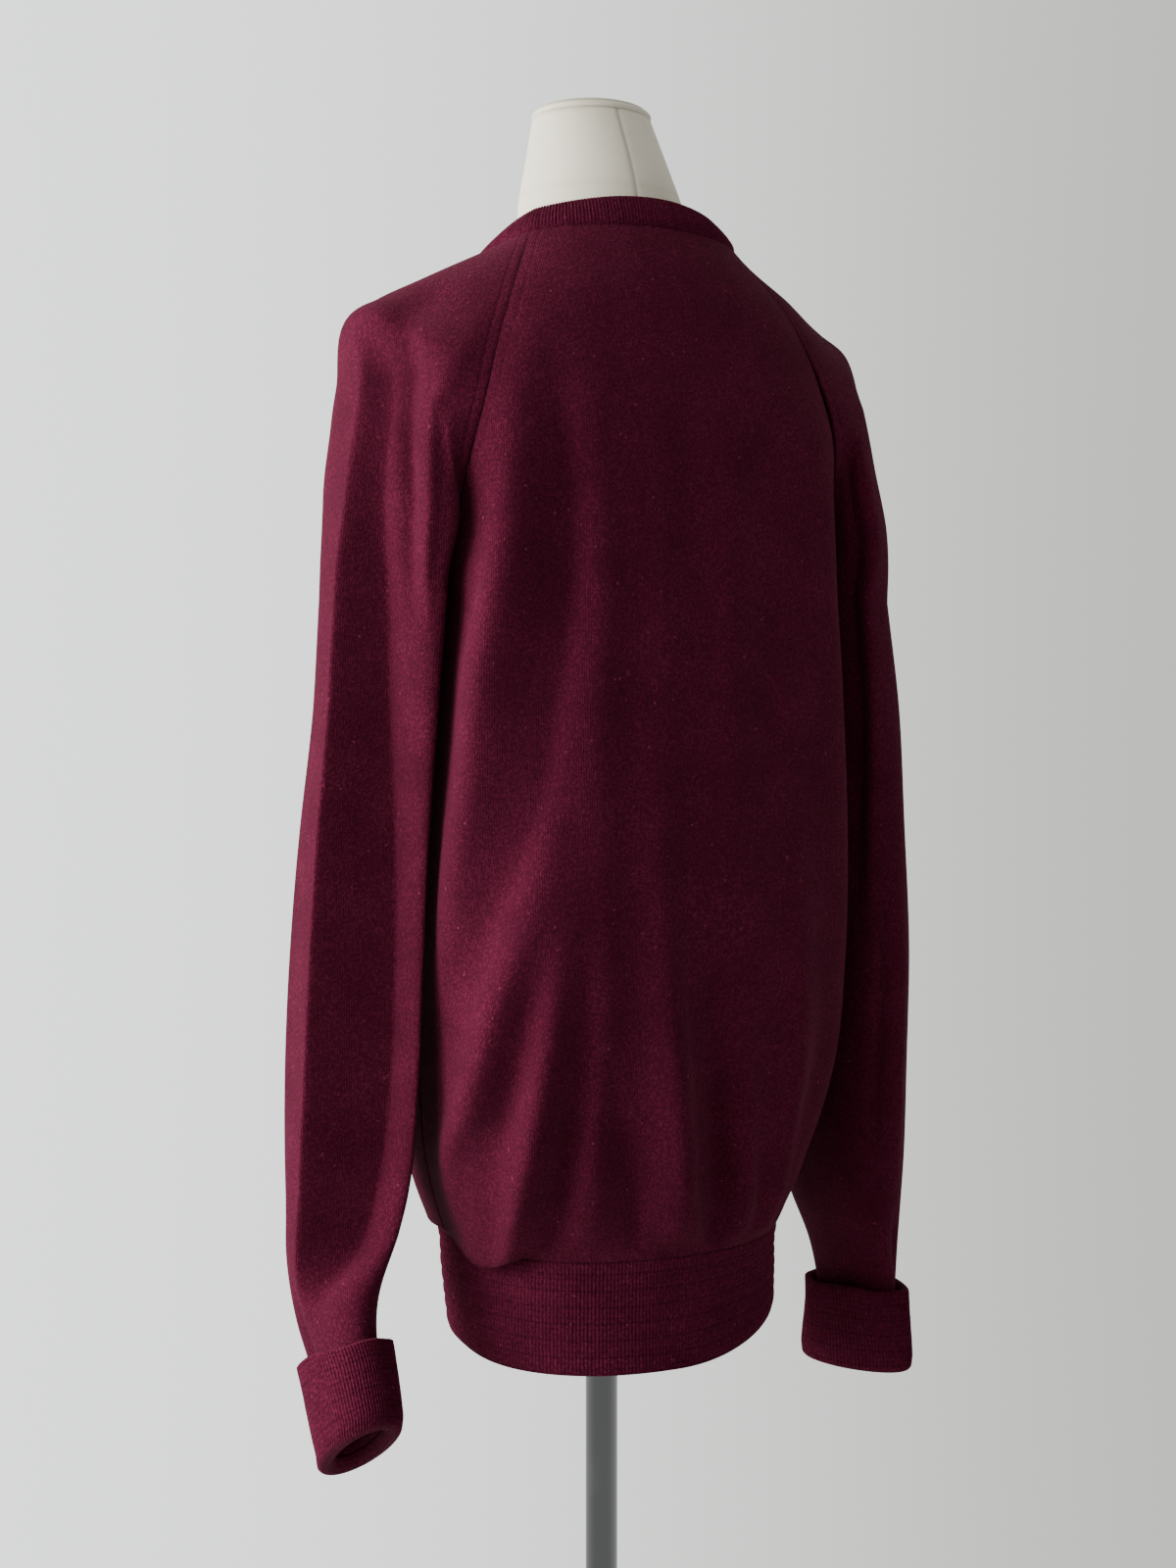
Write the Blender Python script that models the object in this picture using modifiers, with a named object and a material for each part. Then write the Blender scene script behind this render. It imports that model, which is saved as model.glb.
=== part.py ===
"""A v-neck raglan jumper on a limbless dress form with a pole stand.

Metres, +Z up. The form faces -Y and its left side is +X. The origin is on the floor under the pole.
The jumper is cut as its maker cuts it: back, front, two raglan sleeves, neckband, two hem ribs and
two cuffs that are turned back. Every cloth piece is a closed wall of its real thickness.
"""

import math
from collections import namedtuple

import bmesh
import bpy
import numpy as np

# ---------------------------------------------------------------- driving sizes
KNIT = 0.0020  # thickness of the plain knit
RIB_KNIT = 0.0022  # thickness of the ribbed knit between its ribs
RIB_HEIGHT = 0.0009  # how far a rib stands up
SEAM_GAP = 0.0003  # between two pieces that are sewn together
HEM_EDGE = 0.736  # lowest point of the hem, at the centre back
HEM_LIFT = 0.012  # how much higher the hem's edge is at the right side
HEM_SEAM = 0.803  # where the hem rib joins the plain knit
UNDERARM = 1.185
V_ROW = 8  # the seam row that the V's point is on, counted from the neck
NECK_BACK = 1.398  # where the back raglan seam meets the neckband
NECK_FRONT = 1.383  # where the front raglan seam meets the neckband
V_HALF_WIDTH = 0.074  # half the width of the V at its top
NECK_LIFT = 0.004  # how much higher the neck's edge is at the centre back
BAND_WIDTH = 0.020
BAND_THICKNESS = 0.0044  # the rib is doubled
MITRE_REACH = 0.120  # how far from the V's point the band's ribs start to lean
CUFF_DEPTH = 0.0505  # how far the cuff is turned back
CUFF_AIR = 0.0022  # air between the sleeve and the turned-back cuff
FORM_BASE = 0.872  # flat underside of the torso
NECK_TOP = 1.481  # where the neck's cap sits
CAP_HEIGHT = 0.009
POLE_RADIUS = 0.010
BASE_RADIUS = 0.180
BASE_THICKNESS = 0.008
FLANGE_RADIUS = 0.030  # the plate that carries the form
FLANGE_HEIGHT = 0.004
COLLAR_RADIUS = 0.019  # round the pole's foot
COLLAR_HEIGHT = 0.030
STAND_EDGE = 0.002  # the bevel of the base's and the collar's rims

# ---------------------------------------------------------------- finishes
Finish = namedtuple("Finish", ("colour", "roughness", "metallic"))
BURGUNDY_KNIT = Finish((0.13, 0.012, 0.035), 0.95, 0.0)
BURGUNDY_RIB = Finish((0.12, 0.011, 0.032), 0.95, 0.0)
CREAM_CANVAS = Finish((0.72, 0.68, 0.58), 0.80, 0.0)
CHROME = Finish((0.62, 0.62, 0.62), 0.12, 1.0)

# ---------------------------------------------------------------- counts of faces
BACK_COLUMNS, FRONT_COLUMNS = 26, 10
BODY_ROWS = 10
SLEEVE_COLUMNS, YOKE_ROWS, ARM_ROWS = 24, 9, 15
HEM_COLUMNS = 66
CUFF_COLUMNS = 44
BAND_COLUMNS = (16, 16, 36)  # along the back, one shoulder and one side of the V
FORM_COLUMNS = 24
POLE_STEPS, BASE_STEPS = 24, 48

# ---------------------------------------------------------------- tables of the form
# The jumper's body, as level sections: half width, then depths behind and before the section's
# centre line, that line's y, and how square the section is (2 is an ellipse).
BODY = (
    ("z", "half_width", "back", "front", "centre_y", "square"),
    (0.736, 0.1030, 0.095, 0.099, 0.007, 2.2),
    (0.775, 0.1030, 0.095, 0.098, 0.007, 2.2),
    (0.803, 0.1040, 0.096, 0.099, 0.008, 2.2),
    (0.817, 0.1120, 0.102, 0.106, 0.009, 2.3),
    (0.835, 0.1190, 0.107, 0.115, 0.010, 2.5),
    (0.860, 0.1230, 0.109, 0.122, 0.010, 2.7),
    (0.900, 0.1250, 0.108, 0.127, 0.011, 3.0),
    (0.967, 0.1250, 0.107, 0.131, 0.012, 3.2),
    (1.050, 0.1240, 0.104, 0.134, 0.013, 3.3),
    (1.134, 0.1220, 0.098, 0.142, 0.016, 3.3),
    (1.190, 0.1215, 0.092, 0.143, 0.020, 3.2),
    (1.240, 0.1270, 0.092, 0.133, 0.018, 3.1),
    (1.287, 0.1330, 0.095, 0.113, 0.013, 3.0),
    (1.330, 0.1280, 0.091, 0.089, 0.008, 2.7),
    (1.360, 0.1130, 0.085, 0.068, 0.005, 2.5),
    (1.383, 0.0940, 0.077, 0.049, 0.002, 2.3),
    (1.402, 0.0770, 0.067, 0.034, 0.000, 2.3),
)
# The raglan seams, as angles round the body from its centre back and from its centre front.
RAGLAN = (
    ("z", "from_back", "from_front"),
    (1.185, 90.0, 90.0),
    (1.200, 82.0, 81.0),
    (1.220, 74.0, 73.0),
    (1.250, 66.0, 64.0),
    (1.287, 58.7, 57.0),
    (1.330, 56.0, 56.0),
    (1.360, 55.5, 60.0),
    (1.383, 56.5, 67.0),
    (1.398, 57.6, 72.0),
)
# The line that runs from the neckband over the shoulder and down the outside of the arm.
SHOULDER = (
    ("along", "x", "y", "z", "half_depth", "seam_drop", "wrap"),
    (0.00, 0.0790, 0.007, 1.3905, 0.036, 0.00, 0.000),
    (0.15, 0.1000, 0.005, 1.3815, 0.044, 0.10, 0.000),
    (0.30, 0.1230, 0.001, 1.3705, 0.051, 0.22, 0.000),
    (0.43, 0.1460, -0.002, 1.3590, 0.057, 0.34, 0.001),
    (0.54, 0.1660, 0.000, 1.3450, 0.062, 0.45, 0.002),
    (0.63, 0.1690, 0.008, 1.3210, 0.067, 0.56, 0.003),
    (0.72, 0.1690, 0.014, 1.2950, 0.071, 0.67, 0.005),
    (0.82, 0.1705, 0.018, 1.2610, 0.074, 0.79, 0.006),
    (0.91, 0.1728, 0.021, 1.2240, 0.076, 0.90, 0.006),
    (1.00, 0.1764, 0.023, 1.1850, 0.076, 1.00, 0.000),
)
# The hanging sleeves, as level rings: centre, half thickness towards the body and away from it,
# half depth front to back, how far the ring is turned, and how much it rises towards the back.
LEFT_ARM = (
    ("z", "x", "y", "inside", "outside", "half_deep", "turn", "rise"),
    (1.185, 0.1466, 0.020, 0.0225, 0.0300, 0.076, 6.0, 0.00),
    (1.120, 0.1526, 0.019, 0.0240, 0.0300, 0.075, 4.0, 0.00),
    (1.050, 0.1588, 0.014, 0.0260, 0.0305, 0.074, 2.5, 0.00),
    (0.967, 0.1645, 0.009, 0.0280, 0.0310, 0.073, 2.0, 0.00),
    (0.905, 0.1685, 0.005, 0.0285, 0.0310, 0.070, 1.5, 0.05),
    (0.837, 0.1730, 0.004, 0.0280, 0.0290, 0.062, 0.0, 0.12),
    (0.800, 0.1765, 0.007, 0.0250, 0.0260, 0.053, 0.0, 0.20),
    (0.768, 0.1785, 0.013, 0.0205, 0.0210, 0.044, 0.0, 0.34),
    (0.736, 0.1765, 0.025, 0.0150, 0.0150, 0.035, 0.0, 0.56),
    (0.703, 0.1740, 0.037, 0.0135, 0.0135, 0.032, 0.0, 0.70),
)
RIGHT_ARM = (
    ("z", "x", "y", "inside", "outside", "half_deep", "turn", "rise"),
    (1.185, 0.1466, 0.020, 0.0225, 0.0300, 0.076, 6.0, 0.00),
    (1.120, 0.1526, 0.019, 0.0240, 0.0300, 0.075, 4.0, 0.00),
    (1.050, 0.1588, 0.015, 0.0260, 0.0305, 0.074, 2.5, 0.00),
    (0.967, 0.1645, 0.011, 0.0280, 0.0310, 0.073, 1.5, 0.00),
    (0.905, 0.1660, 0.007, 0.0285, 0.0310, 0.070, 0.5, 0.00),
    (0.837, 0.1680, 0.008, 0.0280, 0.0280, 0.062, -2.0, 0.02),
    (0.800, 0.1705, 0.013, 0.0230, 0.0240, 0.050, -5.0, 0.03),
    (0.768, 0.1740, 0.018, 0.0165, 0.0175, 0.038, -9.0, 0.04),
    (0.735, 0.1745, 0.022, 0.0130, 0.0140, 0.032, -13.0, 0.05),
    (0.703, 0.1735, 0.024, 0.0130, 0.0130, 0.034, -17.0, 0.06),
)
# The dress form, as level sections in the same terms as the body's.
FORM = (
    ("z", "half_width", "back", "front", "centre_y", "square"),
    (0.872, 0.098, 0.080, 0.092, 0.008, 2.2),
    (0.884, 0.110, 0.090, 0.103, 0.008, 2.2),
    (0.915, 0.118, 0.094, 0.108, 0.008, 2.3),
    (0.967, 0.117, 0.090, 0.105, 0.010, 2.3),
    (1.030, 0.107, 0.080, 0.100, 0.010, 2.2),
    (1.090, 0.111, 0.082, 0.108, 0.012, 2.2),
    (1.150, 0.117, 0.080, 0.125, 0.018, 2.2),
    (1.200, 0.119, 0.074, 0.124, 0.024, 2.2),
    (1.240, 0.131, 0.072, 0.110, 0.026, 2.2),
    (1.287, 0.150, 0.068, 0.092, 0.022, 2.1),
    (1.325, 0.1645, 0.060, 0.076, 0.014, 2.0),
    (1.342, 0.1595, 0.052, 0.064, 0.010, 2.0),
    (1.356, 0.1440, 0.047, 0.054, 0.007, 2.0),
    (1.368, 0.1195, 0.045, 0.047, 0.005, 2.0),
    (1.383, 0.0815, 0.047, 0.042, 0.004, 2.0),
    (1.400, 0.0610, 0.049, 0.042, 0.003, 2.0),
    (1.432, 0.0496, 0.048, 0.046, -0.004, 2.0),
    (1.481, 0.0368, 0.0346, 0.036, -0.0142, 2.0),
)
# Folds of the body: a path of heights and angles from the centre back (+ is the left side), how far
# the cloth stands out (- is a trough), and half the fold's width in degrees.
BODY_FOLDS = (
    ("top", "middle", "low", "angle_top", "angle_middle", "angle_low", "height", "spread"),
    (1.345, 1.190, 1.000, 49.0, 56.5, 66.0, 0.0085, 7.5),  # left corner of the back
    (1.350, 1.160, 0.960, 38.0, 43.5, 58.0, -0.0075, 7.0),  # trough beside it
    (1.120, 0.980, 0.835, 41.0, 52.5, 70.0, 0.0090, 6.5),  # left side, bagging over the hem
    (0.990, 0.910, 0.830, 46.5, 49.5, 57.0, -0.0040, 5.0),
    (1.060, 0.900, 0.790, 38.0, 43.5, 56.0, 0.0095, 6.0),  # drops on to the hem rib
    (0.990, 0.890, 0.800, 33.0, 37.0, 45.0, -0.0045, 5.5),
    (0.990, 0.890, 0.795, 8.0, 5.0, 0.0, 0.0035, 9.0),
    (0.990, 0.890, 0.800, -12.0, -14.0, -17.0, -0.0045, 6.5),
    (1.040, 0.920, 0.800, -38.0, -36.0, -36.0, 0.0050, 6.0),
    (1.300, 1.120, 0.860, -50.0, -55.0, -56.0, 0.0110, 9.0),  # right corner of the back
    (1.300, 1.120, 0.900, 128.0, 124.0, 120.0, 0.0070, 8.5),  # left corner of the front
    (1.060, 0.920, 0.795, 139.0, 142.0, 148.0, 0.0060, 7.0),
    (1.000, 0.890, 0.800, 158.0, 159.0, 160.0, -0.0040, 7.0),
    (1.000, 0.890, 0.800, -155.0, -157.0, -160.0, 0.0045, 7.0),
    (1.060, 0.920, 0.800, -138.0, -138.0, -140.0, 0.0055, 7.0),
    (1.300, 1.120, 0.900, -126.0, -123.0, -120.0, 0.0070, 8.5),  # right corner of the front
)
# Folds of the sleeves: heights, and angles round the ring from the underarm over the back edge
# (90) to the outside (180) and the front edge (270).
LEFT_ARM_FOLDS = (
    ("top", "middle", "low", "angle_top", "angle_middle", "angle_low", "height", "spread"),
    (1.385, 1.180, 0.900, 140.0, 148.0, 128.0, -0.0085, 14.0),  # long crease behind the arm
    (1.360, 1.200, 1.000, 112.0, 112.0, 100.0, 0.0050, 15.0),  # ridge at the back of it
    (1.060, 0.900, 0.760, 140.0, 150.0, 150.0, -0.0040, 22.0),
    (1.340, 1.180, 0.950, 252.0, 248.0, 254.0, -0.0060, 16.0),  # long crease before the arm
)
RIGHT_ARM_FOLDS = (
    ("top", "middle", "low", "angle_top", "angle_middle", "angle_low", "height", "spread"),
    (1.320, 1.200, 0.980, 98.0, 94.0, 96.0, -0.0040, 12.0),  # crease by the seam
    (1.370, 1.180, 0.900, 116.0, 112.0, 114.0, 0.0030, 13.0),
    (1.060, 0.900, 0.770, 136.0, 140.0, 146.0, -0.0040, 16.0),
    (1.340, 1.180, 0.950, 252.0, 248.0, 254.0, -0.0060, 16.0),
)
# Where the body bags over the hem rib: the angle, how far it spreads, and how far it hangs down.
BAGS = (
    ("angle", "spread", "drop", "out"),
    (64.0, 30.0, 0.036, 0.009),
    (-40.0, 26.0, 0.010, 0.005),
    (135.0, 30.0, 0.022, 0.007),
    (-125.0, 34.0, 0.016, 0.006),
)

Fold = namedtuple("Fold", BODY_FOLDS[0])


# ---------------------------------------------------------------- curves through the tables
def column(table, name):
    """One named column of a table, as an array."""
    place = table[0].index(name)
    return np.array([row[place] for row in table[1:]])


def smooth(knots, values, at):
    """A smooth curve through the values at rising knots, read at any array of places."""
    order = np.argsort(knots)
    knots, values = knots[order], values[order]
    steps = np.diff(knots)
    slopes = np.diff(values) / steps
    inner = (slopes[:-1] * steps[1:] + slopes[1:] * steps[:-1]) / (steps[1:] + steps[:-1])
    tangents = np.concatenate(([slopes[0]], inner, [slopes[-1]]))
    at = np.clip(at, knots[0], knots[-1])
    cell = np.clip(np.searchsorted(knots, at, side="right") - 1, 0, len(steps) - 1)
    width = steps[cell]
    t = (at - knots[cell]) / width
    return (
        values[cell] * (1 + 2 * t) * (1 - t) ** 2
        + tangents[cell] * width * t * (1 - t) ** 2
        + values[cell + 1] * t**2 * (3 - 2 * t)
        + tangents[cell + 1] * width * t**2 * (t - 1)
    )


def read(table, name, at):
    """A column of a table, read smoothly at any places along its first column."""
    return smooth(column(table, table[0][0]), column(table, name), np.asarray(at, float))


def step(low, high, value):
    """0 below low, 1 above high, and a soft step in between."""
    t = np.clip((value - low) / (high - low), 0, 1)
    return t * t * (3 - 2 * t)


def bend(fold, z):
    """A fold's angle at a height: a curve through its three places."""
    heights = (fold.top, fold.middle, fold.low)
    angles = (fold.angle_top, fold.angle_middle, fold.angle_low)
    total = 0
    for here, angle in zip(heights, angles):
        others = [other for other in heights if other != here]
        total = total + angle * (z - others[0]) * (z - others[1]) / (
            (here - others[0]) * (here - others[1])
        )
    return total


def folded(table, angle, z):
    """How far the folds of a table move the cloth out, at an angle in degrees and a height."""
    out = np.zeros(np.broadcast(angle, z).shape)
    for row in table[1:]:
        fold = Fold(*row)
        away = (angle - bend(fold, np.clip(z, fold.low, fold.top)) + 180) % 360 - 180
        length = fold.top - fold.low
        share = step(fold.low, fold.low + 0.3 * length, z) * step(0, 0.4 * length, fold.top - z)
        out += fold.height * share * np.exp(-((away / fold.spread) ** 2))
    return out


# ---------------------------------------------------------------- the body and the form as surfaces
def section(table, angle, z):
    """A point of a table's level section, at an angle in degrees from the centre back."""
    turn = np.radians(angle)
    depth = np.where(np.cos(turn) > 0, read(table, "back", z), read(table, "front", z))
    square = read(table, "square", z)
    across = np.abs(np.sin(turn)) / read(table, "half_width", z)
    along = np.abs(np.cos(turn)) / depth
    radius = (across**square + along**square) ** (-1 / square)
    return radius, turn, read(table, "centre_y", z)


def bag(angle, z):
    """How far the body hangs down and stands out just above the hem rib."""
    above = z - HEM_SEAM
    drop, out = 0, 0
    fade = step(0, 0.075, 0.085 - above)
    for place, spread, down, stands in BAGS[1:]:
        away = (angle - place + 180) % 360 - 180
        share = fade * np.exp(-((away / spread) ** 2))
        drop = drop + down * share * step(0.003, 0.013, above)
        out = out + stands * share * step(0, 0.006, above)
    return drop, out


def body_point(angle, z, out=0.0):
    """A point of the jumper's outside. out moves it further out from the body's middle."""
    angle, z = np.broadcast_arrays(np.asarray(angle, float), np.asarray(z, float))
    radius, turn, centre = section(BODY, angle, z)
    drop, stands = bag(angle, z)
    radius = radius + folded(BODY_FOLDS, angle, z) + stands + out
    return np.stack([radius * np.sin(turn), centre + radius * np.cos(turn), z - drop], axis=-1)


def body_normal(angle, z):
    """The direction straight out of the jumper's cloth."""
    round_it = body_point(angle + 0.5, z) - body_point(angle - 0.5, z)
    up_it = body_point(angle, z + 0.001) - body_point(angle, z - 0.001)
    normal = np.cross(up_it, round_it)
    return normal / np.linalg.norm(normal, axis=-1, keepdims=True)


def seam_angle(name, z):
    """Where a raglan seam runs, in degrees from the centre back."""
    angle = np.where(z < UNDERARM, 90.0, read(RAGLAN, name, z))
    return angle if name == "from_back" else 180 - angle


def gap_angle(angle, z):
    """Half a seam's gap, in degrees at that place of the body."""
    radius = section(BODY, angle, z)[0]
    return np.degrees(SEAM_GAP * (1 + step(HEM_SEAM + 0.06, HEM_SEAM + 0.03, z)) / radius)


# ---------------------------------------------------------------- meshes
def make_material(name, finish):
    """A plain material with a finish's colour, roughness and metallic value."""
    material = bpy.data.materials.new(name)
    material.use_nodes = True
    shader = material.node_tree.nodes["Principled BSDF"]
    shader.inputs["Base Color"].default_value = (*finish.colour, 1.0)
    shader.inputs["Roughness"].default_value = finish.roughness
    shader.inputs["Metallic"].default_value = finish.metallic
    return material


def add_part(name, mesh, finish):
    """Links a mesh as a named part that has its own material."""
    mesh.materials.append(make_material(f"{name}_finish", finish))
    part = bpy.data.objects.new(name, mesh)
    PARTS.objects.link(part)
    return part


def finish_mesh(name, mesh_data, finish, smooth_angle=40):
    """A part from a bmesh: its doubles merged and its faces turned out."""
    bmesh.ops.remove_doubles(mesh_data, verts=mesh_data.verts, dist=2e-6)
    bmesh.ops.recalc_face_normals(mesh_data, faces=mesh_data.faces)
    mesh = bpy.data.meshes.new(name)
    mesh_data.to_mesh(mesh)
    mesh_data.free()
    mesh.shade_smooth()
    mesh.set_sharp_from_angle(angle=math.radians(smooth_angle))
    return add_part(name, mesh, finish)


def add_grid(mesh_data, points):
    """Adds a grid of points, shape (rows, columns, 3), as quads."""
    rows, columns = points.shape[:2]
    verts = [[mesh_data.verts.new(point) for point in row] for row in points.tolist()]
    for i in range(rows - 1):
        for j in range(columns - 1):
            corners = (verts[i][j], verts[i][j + 1], verts[i + 1][j + 1], verts[i + 1][j])
            mesh_data.faces.new(corners)


def add_wall(mesh_data, outer, inner, first=None, last=None):
    """Adds a cloth wall: its outside, its inside and the edges round it.

    first and last are the last row whose edge is closed at the first and the last column. None
    closes them all.
    """
    add_grid(mesh_data, outer)
    add_grid(mesh_data, inner)
    add_grid(mesh_data, np.stack([outer[0], inner[0]]))
    add_grid(mesh_data, np.stack([outer[-1], inner[-1]]))
    for place, end in ((0, first), (-1, last)):
        end = len(outer) - 1 if end is None else end
        if end > 0:
            edge = np.stack([outer[: end + 1, place], inner[: end + 1, place]])
            add_grid(mesh_data, edge)


def grid_normals(points, centre):
    """Directions straight out of a grid, away from its middle line."""
    normal = np.cross(np.gradient(points, axis=0), np.gradient(points, axis=1))
    normal /= np.linalg.norm(normal, axis=-1, keepdims=True)
    return normal * np.sign((normal * (points - centre)).sum(-1).mean())


# ---------------------------------------------------------------- back and front
def seam_heights(neck):
    """The heights of the rows that the body and the sleeves share, from the neck down."""
    drop = read(SHOULDER, "seam_drop", np.linspace(0, 1, YOKE_ROWS + 1))
    return neck + (UNDERARM - neck) * drop


def panel_heights(neck):
    """A panel's rows from the hem seam to the neck, closer together over the hem."""
    low = HEM_SEAM + SEAM_GAP + np.array([0.0, 0.003, 0.007, 0.013, 0.022, 0.034])
    middle = np.linspace(HEM_SEAM + 0.050, UNDERARM, BODY_ROWS + 1)
    return np.concatenate([low, middle, seam_heights(neck)[-2::-1]])[:, None]


def make_back(finish):
    """The back: from the hem seam to the neck, and between the side and raglan seams."""
    z = panel_heights(NECK_BACK)
    edge = seam_angle("from_back", z)
    edge = edge - gap_angle(edge, z)
    angle = edge * np.linspace(-1, 1, BACK_COLUMNS + 1)[None, :]
    lift = NECK_LIFT * step(NECK_BACK - 0.08, NECK_BACK, z) * (1 - (angle / edge) ** 2)
    z = np.broadcast_to(z, angle.shape) + lift
    outer = body_point(angle, z)
    mesh_data = bmesh.new()
    add_wall(mesh_data, outer, outer - KNIT * body_normal(angle, z))
    return finish_mesh("back", mesh_data, finish)


def v_angle(z):
    """Where the edge of the V runs, in degrees from the centre front."""
    point = seam_heights(NECK_FRONT)[V_ROW]
    share = np.clip((z - point) / (NECK_FRONT - point), 0, 1)
    across = V_HALF_WIDTH * share**0.92
    square = read(BODY, "square", z)
    depth = (1 - (across / read(BODY, "half_width", z)) ** square) ** (1 / square)
    angle = np.degrees(np.arctan2(across, read(BODY, "front", z) * depth))
    return np.minimum(angle, 180 - seam_angle("from_front", z) - 3)


def front_half(side):
    """Outer and inner points of the front on one side, from the hem seam to the neck."""
    z = panel_heights(NECK_FRONT)
    seam = seam_angle("from_front", z)
    seam = 180 - seam - gap_angle(seam, z)
    middle = v_angle(z)
    share = np.linspace(0, 1, FRONT_COLUMNS + 1)[None, :]
    angle = side * (180 - (seam + (middle - seam) * share))
    z = np.broadcast_to(z, angle.shape)
    outer = body_point(angle, z)
    inner = outer - KNIT * body_normal(angle, z)
    outer[:-V_ROW, -1, 0] = 0
    inner[:-V_ROW, -1, 0] = 0
    return outer, inner


def make_front(finish):
    """The front: both halves meet below the V and stand apart above it."""
    mesh_data = bmesh.new()
    for side in (1, -1):
        outer, inner = front_half(side)
        add_grid(mesh_data, outer)
        add_grid(mesh_data, inner)
        for edge in (
            (outer[0], inner[0]),
            (outer[-1], inner[-1]),
            (outer[:, 0], inner[:, 0]),
            (outer[-V_ROW - 1 :, -1], inner[-V_ROW - 1 :, -1]),
        ):
            add_grid(mesh_data, np.stack(edge))
    return finish_mesh("front", mesh_data, finish)


# ---------------------------------------------------------------- sleeves
def seam_line(name, z):
    """The sleeve's edge along a raglan seam, and the direction out of the body there."""
    angle = seam_angle(name, z)
    sign = 1 if name == "from_back" else -1
    lift = 0.0006 * step(UNDERARM + 0.06, UNDERARM, z)
    angle = angle + sign * gap_angle(angle, z) * step(UNDERARM, UNDERARM + 0.004, z)
    return body_point(angle, z, lift), body_normal(angle, z)


def yoke_rings():
    """Rings from the neck to the underarm: middles, half vectors out and back, and start angles."""
    along = np.linspace(0, 1, YOKE_ROWS + 1)
    back, back_out = seam_line("from_back", seam_heights(NECK_BACK))
    front, front_out = seam_line("from_front", seam_heights(NECK_FRONT))
    top = np.stack([read(SHOULDER, axis, along) for axis in "xyz"], axis=-1)
    half_chord = (back - front) / 2
    length = np.linalg.norm(half_chord, axis=-1)
    start = np.arcsin(np.clip(length / read(SHOULDER, "half_depth", along), 0, 0.985))
    arm = dict(zip(LEFT_ARM[0], LEFT_ARM[1]))
    flat = 1 + (arm["inside"] / arm["outside"] - 1) * along**2
    out = (top - (back + front) / 2) / (1 + flat * np.cos(start))[:, None]
    deep = half_chord / np.maximum(np.sin(start), 1e-6)[:, None]
    turn = math.radians(arm["turn"])
    out[-1] = np.array([math.cos(turn), math.sin(turn), 0]) * arm["outside"]
    deep[-1] = np.array([-math.sin(turn), math.cos(turn), 0]) * arm["half_deep"]
    middle = top - out
    middle[-1] = (arm["x"], arm["y"], UNDERARM)
    wrap = read(SHOULDER, "wrap", along)
    return (middle, out, deep, flat, start, wrap), (back_out, front_out)


def arm_rings(table):
    """Rings from under the underarm to the cuff's fold, in the same terms."""
    z = np.linspace(UNDERARM, table[-1][0], ARM_ROWS + 1)[1:]
    turn = np.radians(read(table, "turn", z))
    zero = np.zeros_like(z)
    middle = np.stack([read(table, "x", z), read(table, "y", z), z], axis=-1)
    thick = read(table, "outside", z)[:, None]
    deep = read(table, "half_deep", z)[:, None]
    flat = read(table, "inside", z) / read(table, "outside", z)
    out = np.stack([np.cos(turn), np.sin(turn), zero], axis=-1) * thick
    back = np.stack([-np.sin(turn), np.cos(turn), read(table, "rise", z)], axis=-1) * deep
    return middle, out, back, flat, zero, zero


def ring_points(middle, out, back, flat, start, wrap, columns):
    """Points round each ring, from the underarm over the back edge, and their folds' angles."""
    share = np.linspace(0, 1, columns + 1)[None, :]
    angle = start[:, None] + (2 * math.pi - 2 * start[:, None]) * share
    free = 1 - np.clip(np.cos(angle) / np.cos(start)[:, None], 0, 1) ** 2
    across = np.cos(angle) * np.where(np.cos(angle) > 0, flat[:, None], 1)
    points = (
        middle[:, None]
        - out[:, None] * across[..., None]
        + back[:, None] * np.sin(angle)[..., None]
    )
    points[..., 0] -= wrap[:, None] * free * np.sin(angle)
    return points, np.degrees(angle)


def sleeve_surface(table, folds):
    """Outer and inner points of the left-hand sleeve that two tables describe."""
    yoke, (back_out, front_out) = yoke_rings()
    rings = [np.concatenate(pair) for pair in zip(yoke, arm_rings(table))]
    middle = rings[0]
    points, angle = ring_points(*rings, SLEEVE_COLUMNS)
    plain = grid_normals(points, middle[:, None])
    free = np.sin(math.pi * np.linspace(0, 1, SLEEVE_COLUMNS + 1))[None, :] ** 0.5
    free = np.where(np.arange(len(points))[:, None] > YOKE_ROWS, 1.0, free)
    points = points + (folded(folds, angle, middle[:, None, 2]) * free)[..., None] * plain
    normal = grid_normals(points, middle[:, None])
    wrap = normal[YOKE_ROWS + 1 :]
    wrap[:, 0] = wrap[:, -1] = wrap[:, 0] + wrap[:, -1]
    normal[YOKE_ROWS, 0] = normal[YOKE_ROWS, -1] = normal[YOKE_ROWS + 1, 0]
    for place, body_out in ((0, back_out), (-1, front_out)):
        own = normal[:YOKE_ROWS, place]
        share = step(0.2, 0.8, (own * body_out[:YOKE_ROWS]).sum(-1))[:, None]
        normal[:YOKE_ROWS, place] = own * (1 - share) + body_out[:YOKE_ROWS] * share
    normal /= np.linalg.norm(normal, axis=-1, keepdims=True)
    inner = points - KNIT * normal
    # the wrist's edge stays in its own slanted plane
    turn = np.radians(angle[-1])[:, None]
    out, back = rings[1][-1], rings[2][-1]
    edge = np.cos(turn) * out / np.linalg.norm(out) - np.sin(turn) * back / np.hypot(*back[:2])
    inner[-1] = points[-1] + KNIT * edge
    return points, inner


def make_sleeve(name, table, folds, side, finish):
    """A sleeve, open along its raglan seams and closed round the arm. side is 1 for the left."""
    outer, inner = sleeve_surface(table, folds)
    flip = np.array([side, 1, 1])
    mesh_data = bmesh.new()
    add_wall(mesh_data, outer * flip, inner * flip, first=YOKE_ROWS, last=YOKE_ROWS)
    return finish_mesh(name, mesh_data, finish)


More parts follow.
